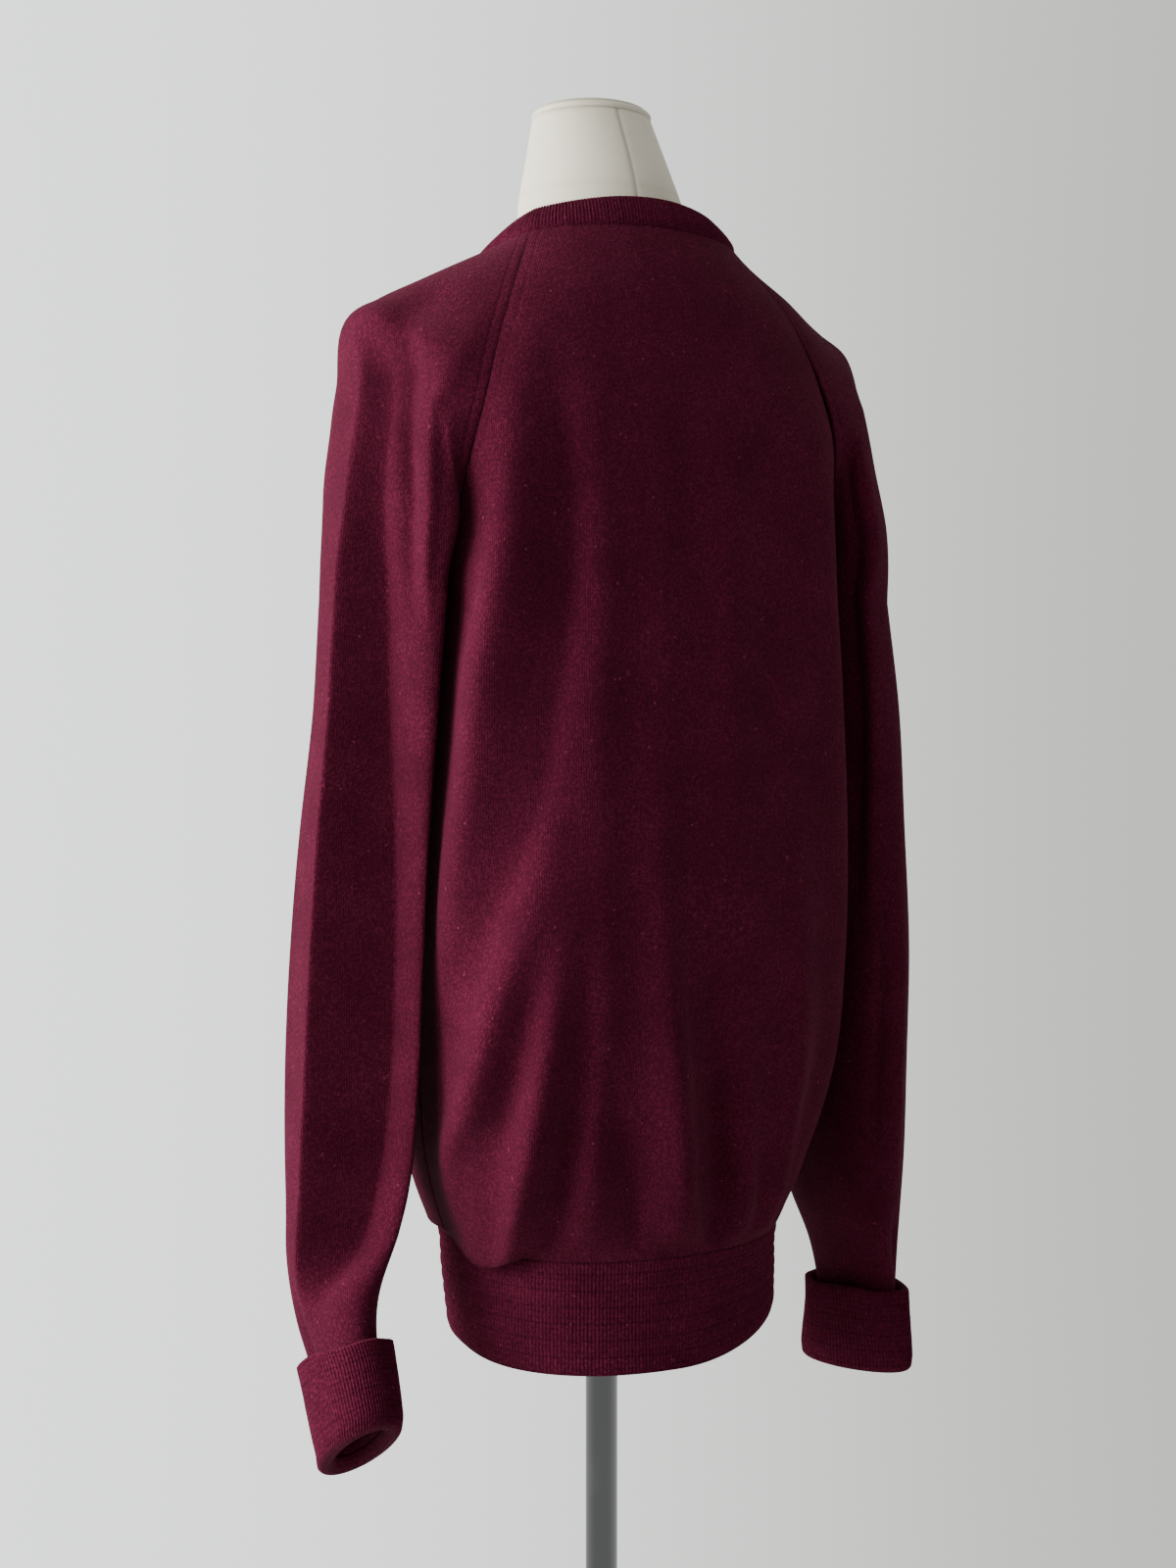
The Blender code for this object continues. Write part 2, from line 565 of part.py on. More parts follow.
# ---------------------------------------------------------------- ribbed pieces
def ribs(columns):
    """How far each column of a ribbed wall stands out: a rib, then a gap."""
    return RIB_HEIGHT * (np.arange(columns + 1) % 2)


def make_hem(name, low, high, finish):
    """One half of the hem rib, between two angles round the body."""
    angle = np.linspace(low, high, HEM_COLUMNS + 1)[None, :]
    angle = angle + np.where(angle < (low + high) / 2, 1, -1) * gap_angle(angle, HEM_SEAM)
    bottom = HEM_EDGE + HEM_LIFT * np.minimum(np.sin(np.radians(angle)), 0) ** 2
    top = np.full_like(angle, HEM_SEAM)
    share = np.array([1.0, 0.5, 0.06, 0.0])[:, None]
    z = bottom + (top - bottom) * share
    round_off = np.array([0.0, 0.0, 0.0, -0.0008])[:, None]
    outer = body_point(angle, z, round_off + ribs(HEM_COLUMNS)[None, :] * (share > 0))
    inner = body_point(angle, z, -RIB_KNIT - round_off)
    mesh_data = bmesh.new()
    add_wall(mesh_data, outer, inner)
    return finish_mesh(name, mesh_data, finish, 25)


def make_cuff(name, table, side, finish):
    """A cuff that is turned back: up the outside of the sleeve from a fold at the wrist."""
    fold_z = table[-1][0] - 0.0065
    rim_z = fold_z + CUFF_DEPTH
    outside = 2 * KNIT + CUFF_AIR
    profile = (
        # height, distance out from the sleeve's own outside, share of the ribs' height
        (table[-1][0] - SEAM_GAP, -KNIT, 0),
        (fold_z - 0.0005, -KNIT, 0),
        (fold_z - 0.0030, 0.3 * outside, 0),
        (fold_z - 0.0005, outside + 0.0010, 1),
        (fold_z + 0.0300, outside + 0.0024, 1),
        (rim_z, outside + 0.0016, 1),
        (rim_z, outside - KNIT, 0),
        (fold_z + 0.0300, outside - KNIT + 0.0010, 0),
        (fold_z + 0.0035, outside - KNIT, 0),
        (fold_z + 0.0030, SEAM_GAP, 0),
        (table[-1][0] - SEAM_GAP, 0.0, 0),
    )
    angle = np.linspace(0, 2 * math.pi, CUFF_COLUMNS + 1)
    rib = ribs(CUFF_COLUMNS)
    rows = []
    for z, out_by, share in profile + profile[:1]:
        at = np.maximum(z, table[-1][0])
        turn = math.radians(float(read(table, "turn", at)))
        flare = 1 + 0.03 * float(step(rim_z, fold_z, z)) * (share > 0)
        thick = np.where(np.cos(angle) > 0, read(table, "inside", at), read(table, "outside", at))
        deep = float(read(table, "half_deep", at)) * flare + out_by
        across = -np.cos(angle) * (thick * flare + out_by + rib * share)
        along = np.sin(angle) * (deep + rib * share)
        x = float(read(table, "x", at)) + across * math.cos(turn) - along * math.sin(turn)
        y = float(read(table, "y", at)) + across * math.sin(turn) + along * math.cos(turn)
        height = z + along * float(read(table, "rise", at))
        rows.append(np.stack([side * x, y, height], axis=-1))
    mesh_data = bmesh.new()
    add_grid(mesh_data, np.array(rows))
    return finish_mesh(name, mesh_data, finish, 25)


# ---------------------------------------------------------------- neckband
def along_path(points, count):
    """Evenly spaced points along a path, both of its ends among them."""
    length = np.concatenate([[0], np.cumsum(np.linalg.norm(np.diff(points, axis=0), axis=1))])
    places = np.linspace(0, length[-1], count + 1)
    return np.stack([np.interp(places, length, points[:, axis]) for axis in range(3)], axis=-1)


def neck_edge(counts):
    """The left half of the edge that the neckband is sewn to, from centre back to the V's point."""
    seam = float(seam_angle("from_back", NECK_BACK))
    share = np.linspace(0, 1, BACK_COLUMNS // 2 + 1)
    back = body_point(seam * share, NECK_BACK + NECK_LIFT * (1 - share**2))
    shoulder = sleeve_surface(LEFT_ARM, LEFT_ARM_FOLDS)[0][0]
    z = seam_heights(NECK_FRONT)[: V_ROW + 1]
    front = body_point(180 - v_angle(z), z)
    paths = [along_path(path, n) for path, n in zip((back, shoulder, front), counts)]
    path = np.concatenate([paths[0], paths[1][1:], paths[2]])
    path[0, 0] = path[-1, 0] = 0
    return path


def neckband_frames():
    """The left half's edge points, the directions along it and out of the cloth, and its mitre."""
    edge = neck_edge(BAND_COLUMNS)
    mirrored = np.concatenate([edge[1:2] * (-1, 1, 1), edge])
    run = np.gradient(mirrored, axis=0)[1:]
    run /= np.linalg.norm(run, axis=1, keepdims=True)
    angle = np.degrees(np.arctan2(edge[:, 0], edge[:, 1] - read(BODY, "centre_y", edge[:, 2])))
    out = body_normal(angle, edge[:, 2])
    for _ in range(20):
        out[1:-1] = (out[:-2] + 2 * out[1:-1] + out[2:]) / 4
    out -= run * (out * run).sum(-1, keepdims=True)
    out /= np.linalg.norm(out, axis=1, keepdims=True)
    length = np.concatenate([[0], np.cumsum(np.linalg.norm(np.diff(edge, axis=0), axis=1))])
    mitre = np.clip(1 - (length[-1] - length) / MITRE_REACH, 0, 1)
    return edge, run, out, mitre * math.sqrt(1 - run[-2, 0] ** 2) / abs(run[-2, 0])


def make_neckband(finish):
    """The doubled rib round the neck, mitred at the point of the V."""
    edge, run, out, mitre = neckband_frames()
    into = np.cross(run, out)
    into *= np.sign(into[0, 2])
    into[-1] = (0, 0, 1)
    into = into - run * mitre[:, None]
    into[-1] = np.array([0, 0, 1]) * np.linalg.norm(into[-2])
    rib = ribs(sum(BAND_COLUMNS) + 1)[:, None, None]
    half = BAND_THICKNESS / 2
    profile = np.array(
        # distance into the opening, distance out of the cloth, share of the ribs' height
        [
            (2.5 * SEAM_GAP, -half + 0.0012, 0),
            (2.5 * SEAM_GAP, half - 0.0010, 0),
            (0.0030, half, 1),
            (BAND_WIDTH - 0.0035, half, 1),
            (BAND_WIDTH - 0.0006, half - 0.0012, 1),
            (BAND_WIDTH, 0.0000, 0),
            (BAND_WIDTH - 0.0010, -half + 0.0008, 0),
            (BAND_WIDTH - 0.0040, -half + 0.0002, 0),
        ]
    )
    rise = profile[None, :, 1:2] - KNIT / 2 + profile[None, :, 2:3] * rib
    left = edge[:, None] + profile[None, :, :1] * into[:, None] + rise * out[:, None]
    left[0, :, 0] = left[-1, :, 0] = 0
    ring = np.concatenate([left, (left * (-1, 1, 1))[-2::-1]])
    ring = np.concatenate([ring, ring[:, :1]], axis=1)
    mesh_data = bmesh.new()
    add_grid(mesh_data, ring)
    return finish_mesh("neckband", mesh_data, finish, 25)


# ---------------------------------------------------------------- the dress form and its stand
def make_form(finish):
    """The form's torso and neck, with a flat underside and a flat neck top."""
    z = column(FORM, "z")[:, None]
    angle = np.linspace(0, 360, FORM_COLUMNS + 1)[None, :]
    radius, turn, centre = section(FORM, angle, z)
    z = np.broadcast_to(z, radius.shape)
    points = np.stack([radius * np.sin(turn), centre + radius * np.cos(turn), z], axis=-1)
    mesh_data = bmesh.new()
    add_grid(mesh_data, points)
    for ring in (points[0], points[-1]):
        close_ring(mesh_data, ring)
    return finish_mesh("form_torso", mesh_data, finish)


def close_ring(mesh_data, ring):
    """Closes a ring of points with a flat face."""
    mesh_data.faces.new([mesh_data.verts.new(point) for point in ring[:-1].tolist()])


def make_cap(finish):
    """The low dome that closes the neck, a little smaller than the neck's top."""
    angle = np.linspace(0, 360, FORM_COLUMNS + 1)[None, :]
    radius, turn, centre = section(FORM, angle, np.full((1, 1), NECK_TOP))
    rows = []
    dome = (
        # distance in from the neck's edge, height
        (0.0004, 0.0),
        (0.0, 0.003),
        (0.0012, 0.0060),
        (0.008, 0.0082),
        (0.02, CAP_HEIGHT),
    )
    for inset, rise in dome:
        size = radius - inset
        z = NECK_TOP + SEAM_GAP + rise
        x, y = size * np.sin(turn), centre + size * np.cos(turn)
        rows.append(np.stack([x, y, np.full_like(x, z)], axis=-1)[0])
    rows = np.array(rows)
    mesh_data = bmesh.new()
    add_grid(mesh_data, rows)
    close_ring(mesh_data, rows[0])
    close_ring(mesh_data, rows[-1])
    return finish_mesh("form_neck_cap", mesh_data, finish)


def make_turned(name, outline, steps, finish):
    """A solid turned round the pole's axis, from its outline's (radius, height) corners.

    The outline runs from the middle of the top, down the outside, to the middle of the bottom.
    """
    mesh = bpy.data.meshes.new(name)
    corners = [(radius, 0.0, z) for radius, z in outline]
    mesh.from_pydata(corners, [(i, i + 1) for i in range(len(corners) - 1)], [])
    turn = add_part(name, mesh, finish).modifiers.new("turn", "SCREW")
    turn.steps = turn.render_steps = steps
    turn.use_merge_vertices = True
    turn.merge_threshold = 0.0001


def make_stand(finish):
    """The round base, and on it the pole with its collar and its flange under the form."""
    base = (
        (0.0, BASE_THICKNESS),
        (BASE_RADIUS - STAND_EDGE, BASE_THICKNESS),
        (BASE_RADIUS, BASE_THICKNESS - STAND_EDGE),
        (BASE_RADIUS, STAND_EDGE / 2),
        (BASE_RADIUS - STAND_EDGE / 2, 0.0),
        (0.0, 0.0),
    )
    make_turned("stand_base", base, BASE_STEPS, finish)
    collar_low = BASE_THICKNESS + SEAM_GAP
    collar_top = collar_low + COLLAR_HEIGHT
    pole_top = FORM_BASE - SEAM_GAP
    pole = (
        (0.0, pole_top),
        (FLANGE_RADIUS, pole_top),
        (FLANGE_RADIUS, pole_top - FLANGE_HEIGHT),
        (POLE_RADIUS, pole_top - FLANGE_HEIGHT),
        (POLE_RADIUS, collar_top),
        (COLLAR_RADIUS - STAND_EDGE, collar_top),
        (COLLAR_RADIUS, collar_top - STAND_EDGE),
        (COLLAR_RADIUS, collar_low),
        (0.0, collar_low),
    )
    make_turned("stand_pole", pole, POLE_STEPS, finish)


# ---------------------------------------------------------------- the scene
def clear_scene():
    """Removes what the scene holds at the start."""
    for obj in list(bpy.data.objects):
        bpy.data.objects.remove(obj)


clear_scene()
PARTS = bpy.data.collections.new("jumper_on_dress_form")
bpy.context.scene.collection.children.link(PARTS)
make_back(BURGUNDY_KNIT)
make_front(BURGUNDY_KNIT)
make_sleeve("sleeve_left", LEFT_ARM, LEFT_ARM_FOLDS, 1, BURGUNDY_KNIT)
make_sleeve("sleeve_right", RIGHT_ARM, RIGHT_ARM_FOLDS, -1, BURGUNDY_KNIT)
make_hem("hem_rib_back", -90.0, 90.0, BURGUNDY_RIB)
make_hem("hem_rib_front", 90.0, 270.0, BURGUNDY_RIB)
make_cuff("cuff_left", LEFT_ARM, 1, BURGUNDY_RIB)
make_cuff("cuff_right", RIGHT_ARM, -1, BURGUNDY_RIB)
make_neckband(BURGUNDY_RIB)
make_form(CREAM_CANVAS)
make_cap(CREAM_CANVAS)
make_stand(CHROME)
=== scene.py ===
"""The looks of a burgundy v-neck raglan jumper on a cream dress form.

Metres, +Z up. The form faces -Y and its left side is +X, so the jumper's back faces +Y. The cloth
keeps to the cut of the CAD part and adds finer folds, full-pitch ribs, seams and stitches. Its left
sleeve has a deeper crease, and under the cloth the form is slimmer, to leave that crease room.
"""

import logging
import math
from dataclasses import dataclass
from enum import Enum
from typing import Any

import bmesh
import bpy
import numpy as np
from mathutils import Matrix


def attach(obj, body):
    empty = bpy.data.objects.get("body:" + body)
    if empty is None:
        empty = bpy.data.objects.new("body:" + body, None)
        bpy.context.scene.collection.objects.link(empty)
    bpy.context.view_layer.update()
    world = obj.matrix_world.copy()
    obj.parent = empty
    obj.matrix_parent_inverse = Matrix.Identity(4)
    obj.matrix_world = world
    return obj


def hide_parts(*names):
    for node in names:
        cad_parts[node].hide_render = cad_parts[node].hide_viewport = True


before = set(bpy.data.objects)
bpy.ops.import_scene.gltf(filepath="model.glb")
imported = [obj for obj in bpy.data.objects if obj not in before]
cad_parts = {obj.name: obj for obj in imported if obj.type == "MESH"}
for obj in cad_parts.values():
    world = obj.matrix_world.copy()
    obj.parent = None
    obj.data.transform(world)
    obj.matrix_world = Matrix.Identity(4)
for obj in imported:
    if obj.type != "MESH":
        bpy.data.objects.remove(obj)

log = logging.getLogger("jumper")
Array = np.ndarray
Knots = tuple[tuple[float, ...], ...]

ROOT = "root"  # the one body of a part without joints
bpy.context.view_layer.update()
WELDED = 2e-6  # points closer than this are one
NO_EDGE = 1e-7  # an edge shorter than this is none


class Side(Enum):
    """Which of the wearer's sides a piece is on, as the sign of its X."""

    LEFT = 1
    RIGHT = -1


# ---------------------------------------------------------------- curves and tables
def smooth(knots: Array, values: Array, at: Array) -> Array:
    """A cubic Hermite curve through values at rising knots, its slopes weighted between neighbours.

    Args:
        knots: rising places.
        values: the value at each knot.
        at: places to read, held inside the knots.

    Returns:
        The curve's values, in the shape of at.
    """
    steps = np.diff(knots)
    slopes = np.diff(values) / steps
    inner = (slopes[:-1] * steps[1:] + slopes[1:] * steps[:-1]) / (steps[1:] + steps[:-1])
    tangents = np.concatenate(([slopes[0]], inner, [slopes[-1]]))
    at = np.clip(at, knots[0], knots[-1])
    cell = np.clip(np.searchsorted(knots, at, side="right") - 1, 0, len(steps) - 1)
    width = steps[cell]
    t = (at - knots[cell]) / width
    return (
        values[cell] * (1 + 2 * t) * (1 - t) ** 2
        + tangents[cell] * width * t * (1 - t) ** 2
        + values[cell + 1] * t**2 * (3 - 2 * t)
        + tangents[cell + 1] * width * t**2 * (t - 1)
    )


def step(low: float, high: float, value: Array | float) -> Array:
    """0 below low, 1 above high, and 3t^2 - 2t^3 between them."""
    t = np.clip((np.asarray(value, float) - low) / (high - low), 0, 1)
    return t * t * (3 - 2 * t)


def bump(distance: Array, width: float) -> Array:
    """A soft bump, 1 at distance 0 and exp(-(distance / width)^2) away from it."""
    return np.exp(-((distance / width) ** 2))


def arc_length(points: Array, axis: int) -> Array:
    """How far along an axis of a grid each point lies, as the summed length of its steps.

    Args:
        points: a grid of points.
        axis: the grid's axis.

    Returns:
        The distances from the axis's start.
    """
    steps = np.linalg.norm(np.diff(points, axis=axis), axis=-1)
    start = np.zeros_like(np.take(steps, [0], axis=axis))
    return np.cumsum(np.concatenate([start, steps], axis=axis), axis=axis)


class Table:
    """Named columns of sizes, read smoothly along the first of them."""

    def __init__(self, names: tuple[str, ...], rows: Knots) -> None:
        """Keeps the rows in rising order of their first column."""
        values = np.array(rows)
        self.columns = dict(zip(names, values[np.argsort(values[:, 0])].T))
        self.first = names[0]

    def read(self, name: str, at: Array | float) -> Array:
        """One column's values at any places along the first column."""
        return smooth(self.columns[self.first], self.columns[name], np.asarray(at, float))

    def end(self, name: str) -> float:
        """One column's value in the row with the lowest first column."""
        return float(self.columns[name][0])


@dataclass(frozen=True)
class Fold:
    """One fold of the cloth, along a path of knots (height, angle, how far the cloth stands out).

    width is the fold's half width towards smaller and towards larger angles, in degrees, and away
    is the angle from the path. The cloth moves out by height * exp(-|away / width|^sharp).
    """

    width: tuple[float, float]
    knots: Knots
    sharp: float = 2.0
    end: float = 0.001  # the fold is cut off this soon past its ends

    def out(self, angle: Array, z: Array) -> Array:
        """How far the fold moves the cloth out at an angle and a height.

        Args:
            angle: degrees, counted as in the knots.
            z: heights.

        Returns:
            The distances out.
        """
        z_at, angle_at, height_at = np.array(sorted(self.knots)).T
        away = (angle - smooth(z_at, angle_at, z) + 180) % 360 - 180
        width = np.where(away < 0, *self.width)
        inside = step(z_at[0] - self.end, z_at[0], z) * step(-z_at[-1] - self.end, -z_at[-1], -z)
        return smooth(z_at, height_at, z) * inside * np.exp(-(np.abs(away / width) ** self.sharp))


@dataclass(frozen=True)
class Pleat:
    """A deep fold that leaves only a flap of a sleeve behind an upright line.

    Each knot is a height of the sleeve's outer side, the x of the flap's outer side, the y of the
    line, how far the fold has formed from 0 to 1, and half the width of the step at the line.
    """

    knots: Knots
    tip: float = 0.25  # where the flap's end lies in its thickness
    least_thick: float = 0.003
    least_run: float = 0.004  # from the line to the sleeve's back edge

    def folded(
        self, across: Array, back: Array, inside: Array, reach: Array, middle: Array, level: Array
    ) -> tuple[Array, Array]:
        """The flap's places in the cloth's section, and how far they count.

        With p from 0 at the line to 1 at the sleeve's back edge and q = sqrt(1 - p^2), the flap
        is thickness * q thick outside its inner side.

        Args:
            across: distances out of the middle.
            back: distances behind the middle.
            inside: the sleeve's inner half thickness.
            reach: its back half depth.
            middle: the middles of the sections.
            level: the heights of the sections' outer sides.

        Returns:
            The distances out of the middle in the flap, and their share from 0 to 1.
        """
        z = level + 0 * back
        z_at, x_at, y_at, formed_at, edge_at = np.array(sorted(self.knots)).T
        line = smooth(z_at, y_at, z) - middle[..., 1]
        thick = np.maximum(smooth(z_at, x_at, z) - middle[..., 0] + inside, self.least_thick)
        along = np.clip((back - line) / np.maximum(reach - line, self.least_run), 0, 1)
        round_end = np.sqrt(1 - along**2)
        end = self.tip * thick * (1 - round_end) - inside
        flap = np.where(across > 0, end + thick * round_end, end)
        share = step(-1.0, 1.0, (back - line) / smooth(z_at, edge_at, z))
        return flap, share * np.clip(smooth(z_at, formed_at, z), 0, 1)


@dataclass(frozen=True)
class Bag:
    """A place where the body bags over the hem rib: its angle and spread, and its drop and reach."""

    angle: float
    spread: float
    drop: float
    out: float


# ---------------------------------------------------------------- the cut of the jumper
# Level sections of the body: half width, half depths behind and before the centre line, exponent.
BODY = Table(
    ("z", "half_width", "back", "front", "centre_y", "square"),
    (
        (0.736, 0.1030, 0.095, 0.099, 0.007, 2.2),
        (0.775, 0.1030, 0.095, 0.098, 0.007, 2.2),
        (0.803, 0.1040, 0.096, 0.099, 0.008, 2.2),
        (0.817, 0.1085, 0.0985, 0.103, 0.009, 2.25),
        (0.835, 0.1150, 0.1020, 0.110, 0.010, 2.4),
        (0.860, 0.1215, 0.1055, 0.119, 0.010, 2.6),
        (0.900, 0.1250, 0.1075, 0.127, 0.011, 3.0),
        (0.967, 0.1250, 0.107, 0.131, 0.012, 3.2),
        (1.050, 0.1240, 0.104, 0.134, 0.013, 3.3),
        (1.134, 0.1220, 0.098, 0.142, 0.016, 3.3),
        (1.190, 0.1215, 0.092, 0.143, 0.020, 3.2),
        (1.240, 0.1270, 0.092, 0.133, 0.018, 3.1),
        (1.287, 0.1330, 0.095, 0.113, 0.013, 3.0),
        (1.330, 0.1280, 0.091, 0.089, 0.008, 2.7),
        (1.360, 0.1130, 0.085, 0.068, 0.005, 2.5),
        (1.383, 0.0940, 0.077, 0.049, 0.002, 2.3),
        (1.402, 0.0770, 0.067, 0.034, 0.000, 2.3),
    ),
)
# The raglan seams, in degrees from the centre back and from the centre front.
RAGLAN = Table(
    ("z", "from_back", "from_front"),
    (
        (1.185, 90.0, 90.0),
        (1.200, 82.0, 81.0),
        (1.220, 74.0, 73.0),
        (1.250, 66.0, 64.0),
        (1.287, 58.7, 57.0),
        (1.330, 56.0, 56.0),
        (1.360, 55.5, 60.0),
        (1.383, 56.5, 67.0),
        (1.398, 57.6, 72.0),
    ),
)
# The line over the shoulder from the neckband to the underarm's height, and the ring through it.
SHOULDER_NAMES = ("along", "x", "y", "z", "start", "seam_drop", "wrap", "square")
SHOULDER_TOP = (
    (0.00, 0.0790, 0.007, 1.3905, 118.0, 0.00, 0.000, 2.0),
    (0.15, 0.1000, 0.005, 1.3815, 120.0, 0.10, 0.000, 2.0),
    (0.30, 0.1230, 0.001, 1.3705, 120.0, 0.22, 0.000, 2.0),
    (0.43, 0.1460, -0.002, 1.3590, 117.0, 0.34, 0.001, 2.0),
)
LEFT_SHOULDER = Table(
    SHOULDER_NAMES,
    SHOULDER_TOP
    + (
        (0.54, 0.1625, 0.002, 1.3470, 110.0, 0.45, 0.002, 2.1),
        (0.63, 0.1645, 0.012, 1.3210, 96.0, 0.56, 0.003, 2.2),
        (0.72, 0.1690, 0.022, 1.2950, 70.0, 0.67, 0.003, 2.4),
        (0.82, 0.1748, 0.027, 1.2610, 39.0, 0.79, 0.003, 2.45),
        (0.91, 0.1780, 0.025, 1.2240, 18.5, 0.90, 0.003, 2.5),
        (1.00, 0.1805, 0.020, 1.1850, 0.0, 1.00, 0.003, 2.5),
    ),
)
RIGHT_SHOULDER = Table(
    SHOULDER_NAMES,
    SHOULDER_TOP
    + (
        (0.54, 0.1660, 0.000, 1.3450, 110.0, 0.45, 0.002, 2.1),
        (0.63, 0.1690, 0.008, 1.3210, 94.0, 0.56, 0.003, 2.2),
        (0.72, 0.1690, 0.014, 1.2950, 62.0, 0.67, 0.005, 2.2),
        (0.82, 0.1722, 0.016, 1.2610, 38.5, 0.79, 0.006, 2.2),
        (0.91, 0.1765, 0.016, 1.2240, 18.5, 0.90, 0.006, 2.2),
        (1.00, 0.1814, 0.017, 1.1850, 0.0, 1.00, 0.006, 2.2),
    ),
)
# The sleeves below the underarm: middles, half thicknesses, half depths, and turns in degrees.
ARM_NAMES = ("z", "x", "y", "inside", "outside", "back", "front", "turn", "rise", "square")
LEFT_ARM = Table(
    ARM_NAMES,
    (
        (1.185, 0.1505, 0.020, 0.0265, 0.0300, 0.046, 0.062, 0.0, 0.00, 2.5),
        (1.120, 0.1545, 0.016, 0.0270, 0.0290, 0.042, 0.060, 0.0, 0.00, 2.5),
        (1.050, 0.1600, 0.011, 0.0300, 0.0295, 0.037, 0.056, 0.0, 0.00, 2.5),
        (0.967, 0.1655, 0.007, 0.0320, 0.0300, 0.037, 0.050, 0.0, 0.00, 2.5),
        (0.905, 0.1685, 0.005, 0.0325, 0.0300, 0.038, 0.047, 0.0, 0.04, 2.5),
        (0.837, 0.1725, 0.004, 0.0305, 0.0285, 0.038, 0.044, 0.0, 0.12, 2.45),
        (0.800, 0.1765, 0.006, 0.0255, 0.0260, 0.036, 0.042, 0.0, 0.20, 2.3),
        (0.768, 0.1785, 0.012, 0.0205, 0.0210, 0.036, 0.039, 0.0, 0.34, 2.0),
        (0.736, 0.1765, 0.025, 0.0150, 0.0150, 0.035, 0.035, 0.0, 0.56, 2.0),
        (0.703, 0.1740, 0.037, 0.0135, 0.0135, 0.032, 0.032, 0.0, 0.70, 2.0),
    ),
)
RIGHT_ARM = Table(
    ARM_NAMES,
    (
        (1.185, 0.1496, 0.014, 0.0230, 0.0320, 0.067, 0.067, 6.0, 0.00, 2.2),
        (1.120, 0.1568, 0.014, 0.0250, 0.0320, 0.068, 0.068, 4.0, 0.00, 2.2),
        (1.050, 0.1610, 0.012, 0.0275, 0.0320, 0.069, 0.069, 2.5, 0.00, 2.2),
        (0.967, 0.1655, 0.010, 0.0285, 0.0315, 0.070, 0.070, 1.5, 0.00, 2.2),
        (0.905, 0.1660, 0.007, 0.0285, 0.0310, 0.069, 0.069, 0.5, 0.00, 2.2),
        (0.837, 0.1680, 0.008, 0.0280, 0.0280, 0.061, 0.061, -2.0, 0.02, 2.2),
        (0.800, 0.1705, 0.013, 0.0230, 0.0240, 0.049, 0.049, -5.0, 0.03, 2.1),
        (0.768, 0.1740, 0.018, 0.0165, 0.0175, 0.038, 0.038, -9.0, 0.04, 2.0),
        (0.735, 0.1745, 0.022, 0.0130, 0.0140, 0.032, 0.032, -13.0, 0.05, 2.0),
        (0.703, 0.1735, 0.024, 0.0130, 0.0130, 0.034, 0.034, -17.0, 0.06, 2.0),
    ),
)
# Level sections of the dress form, in the body's terms.
FORM = Table(
    ("z", "half_width", "back", "front", "centre_y", "square"),
    (
        (0.872, 0.098, 0.080, 0.092, 0.008, 2.2),
        (0.884, 0.110, 0.090, 0.103, 0.008, 2.2),
        (0.915, 0.118, 0.094, 0.108, 0.008, 2.3),
        (0.967, 0.117, 0.090, 0.105, 0.010, 2.3),
        (1.030, 0.107, 0.080, 0.100, 0.010, 2.2),
        (1.090, 0.111, 0.082, 0.108, 0.012, 2.2),
        (1.150, 0.117, 0.080, 0.125, 0.018, 2.2),
        (1.200, 0.119, 0.074, 0.124, 0.024, 2.2),
        (1.240, 0.128, 0.070, 0.110, 0.026, 2.2),
        (1.287, 0.138, 0.048, 0.092, 0.016, 2.0),
        (1.325, 0.1520, 0.038, 0.074, 0.007, 2.0),
        (1.342, 0.1520, 0.041, 0.062, 0.006, 2.0),
        (1.356, 0.1420, 0.045, 0.054, 0.006, 2.0),
        (1.368, 0.1195, 0.045, 0.047, 0.005, 2.0),
        (1.383, 0.0815, 0.047, 0.042, 0.004, 2.0),
        (1.400, 0.0610, 0.049, 0.042, 0.003, 2.0),
        (1.432, 0.0496, 0.048, 0.046, -0.004, 2.0),
        (1.481, 0.0368, 0.0346, 0.036, -0.0142, 2.0),
    ),
)
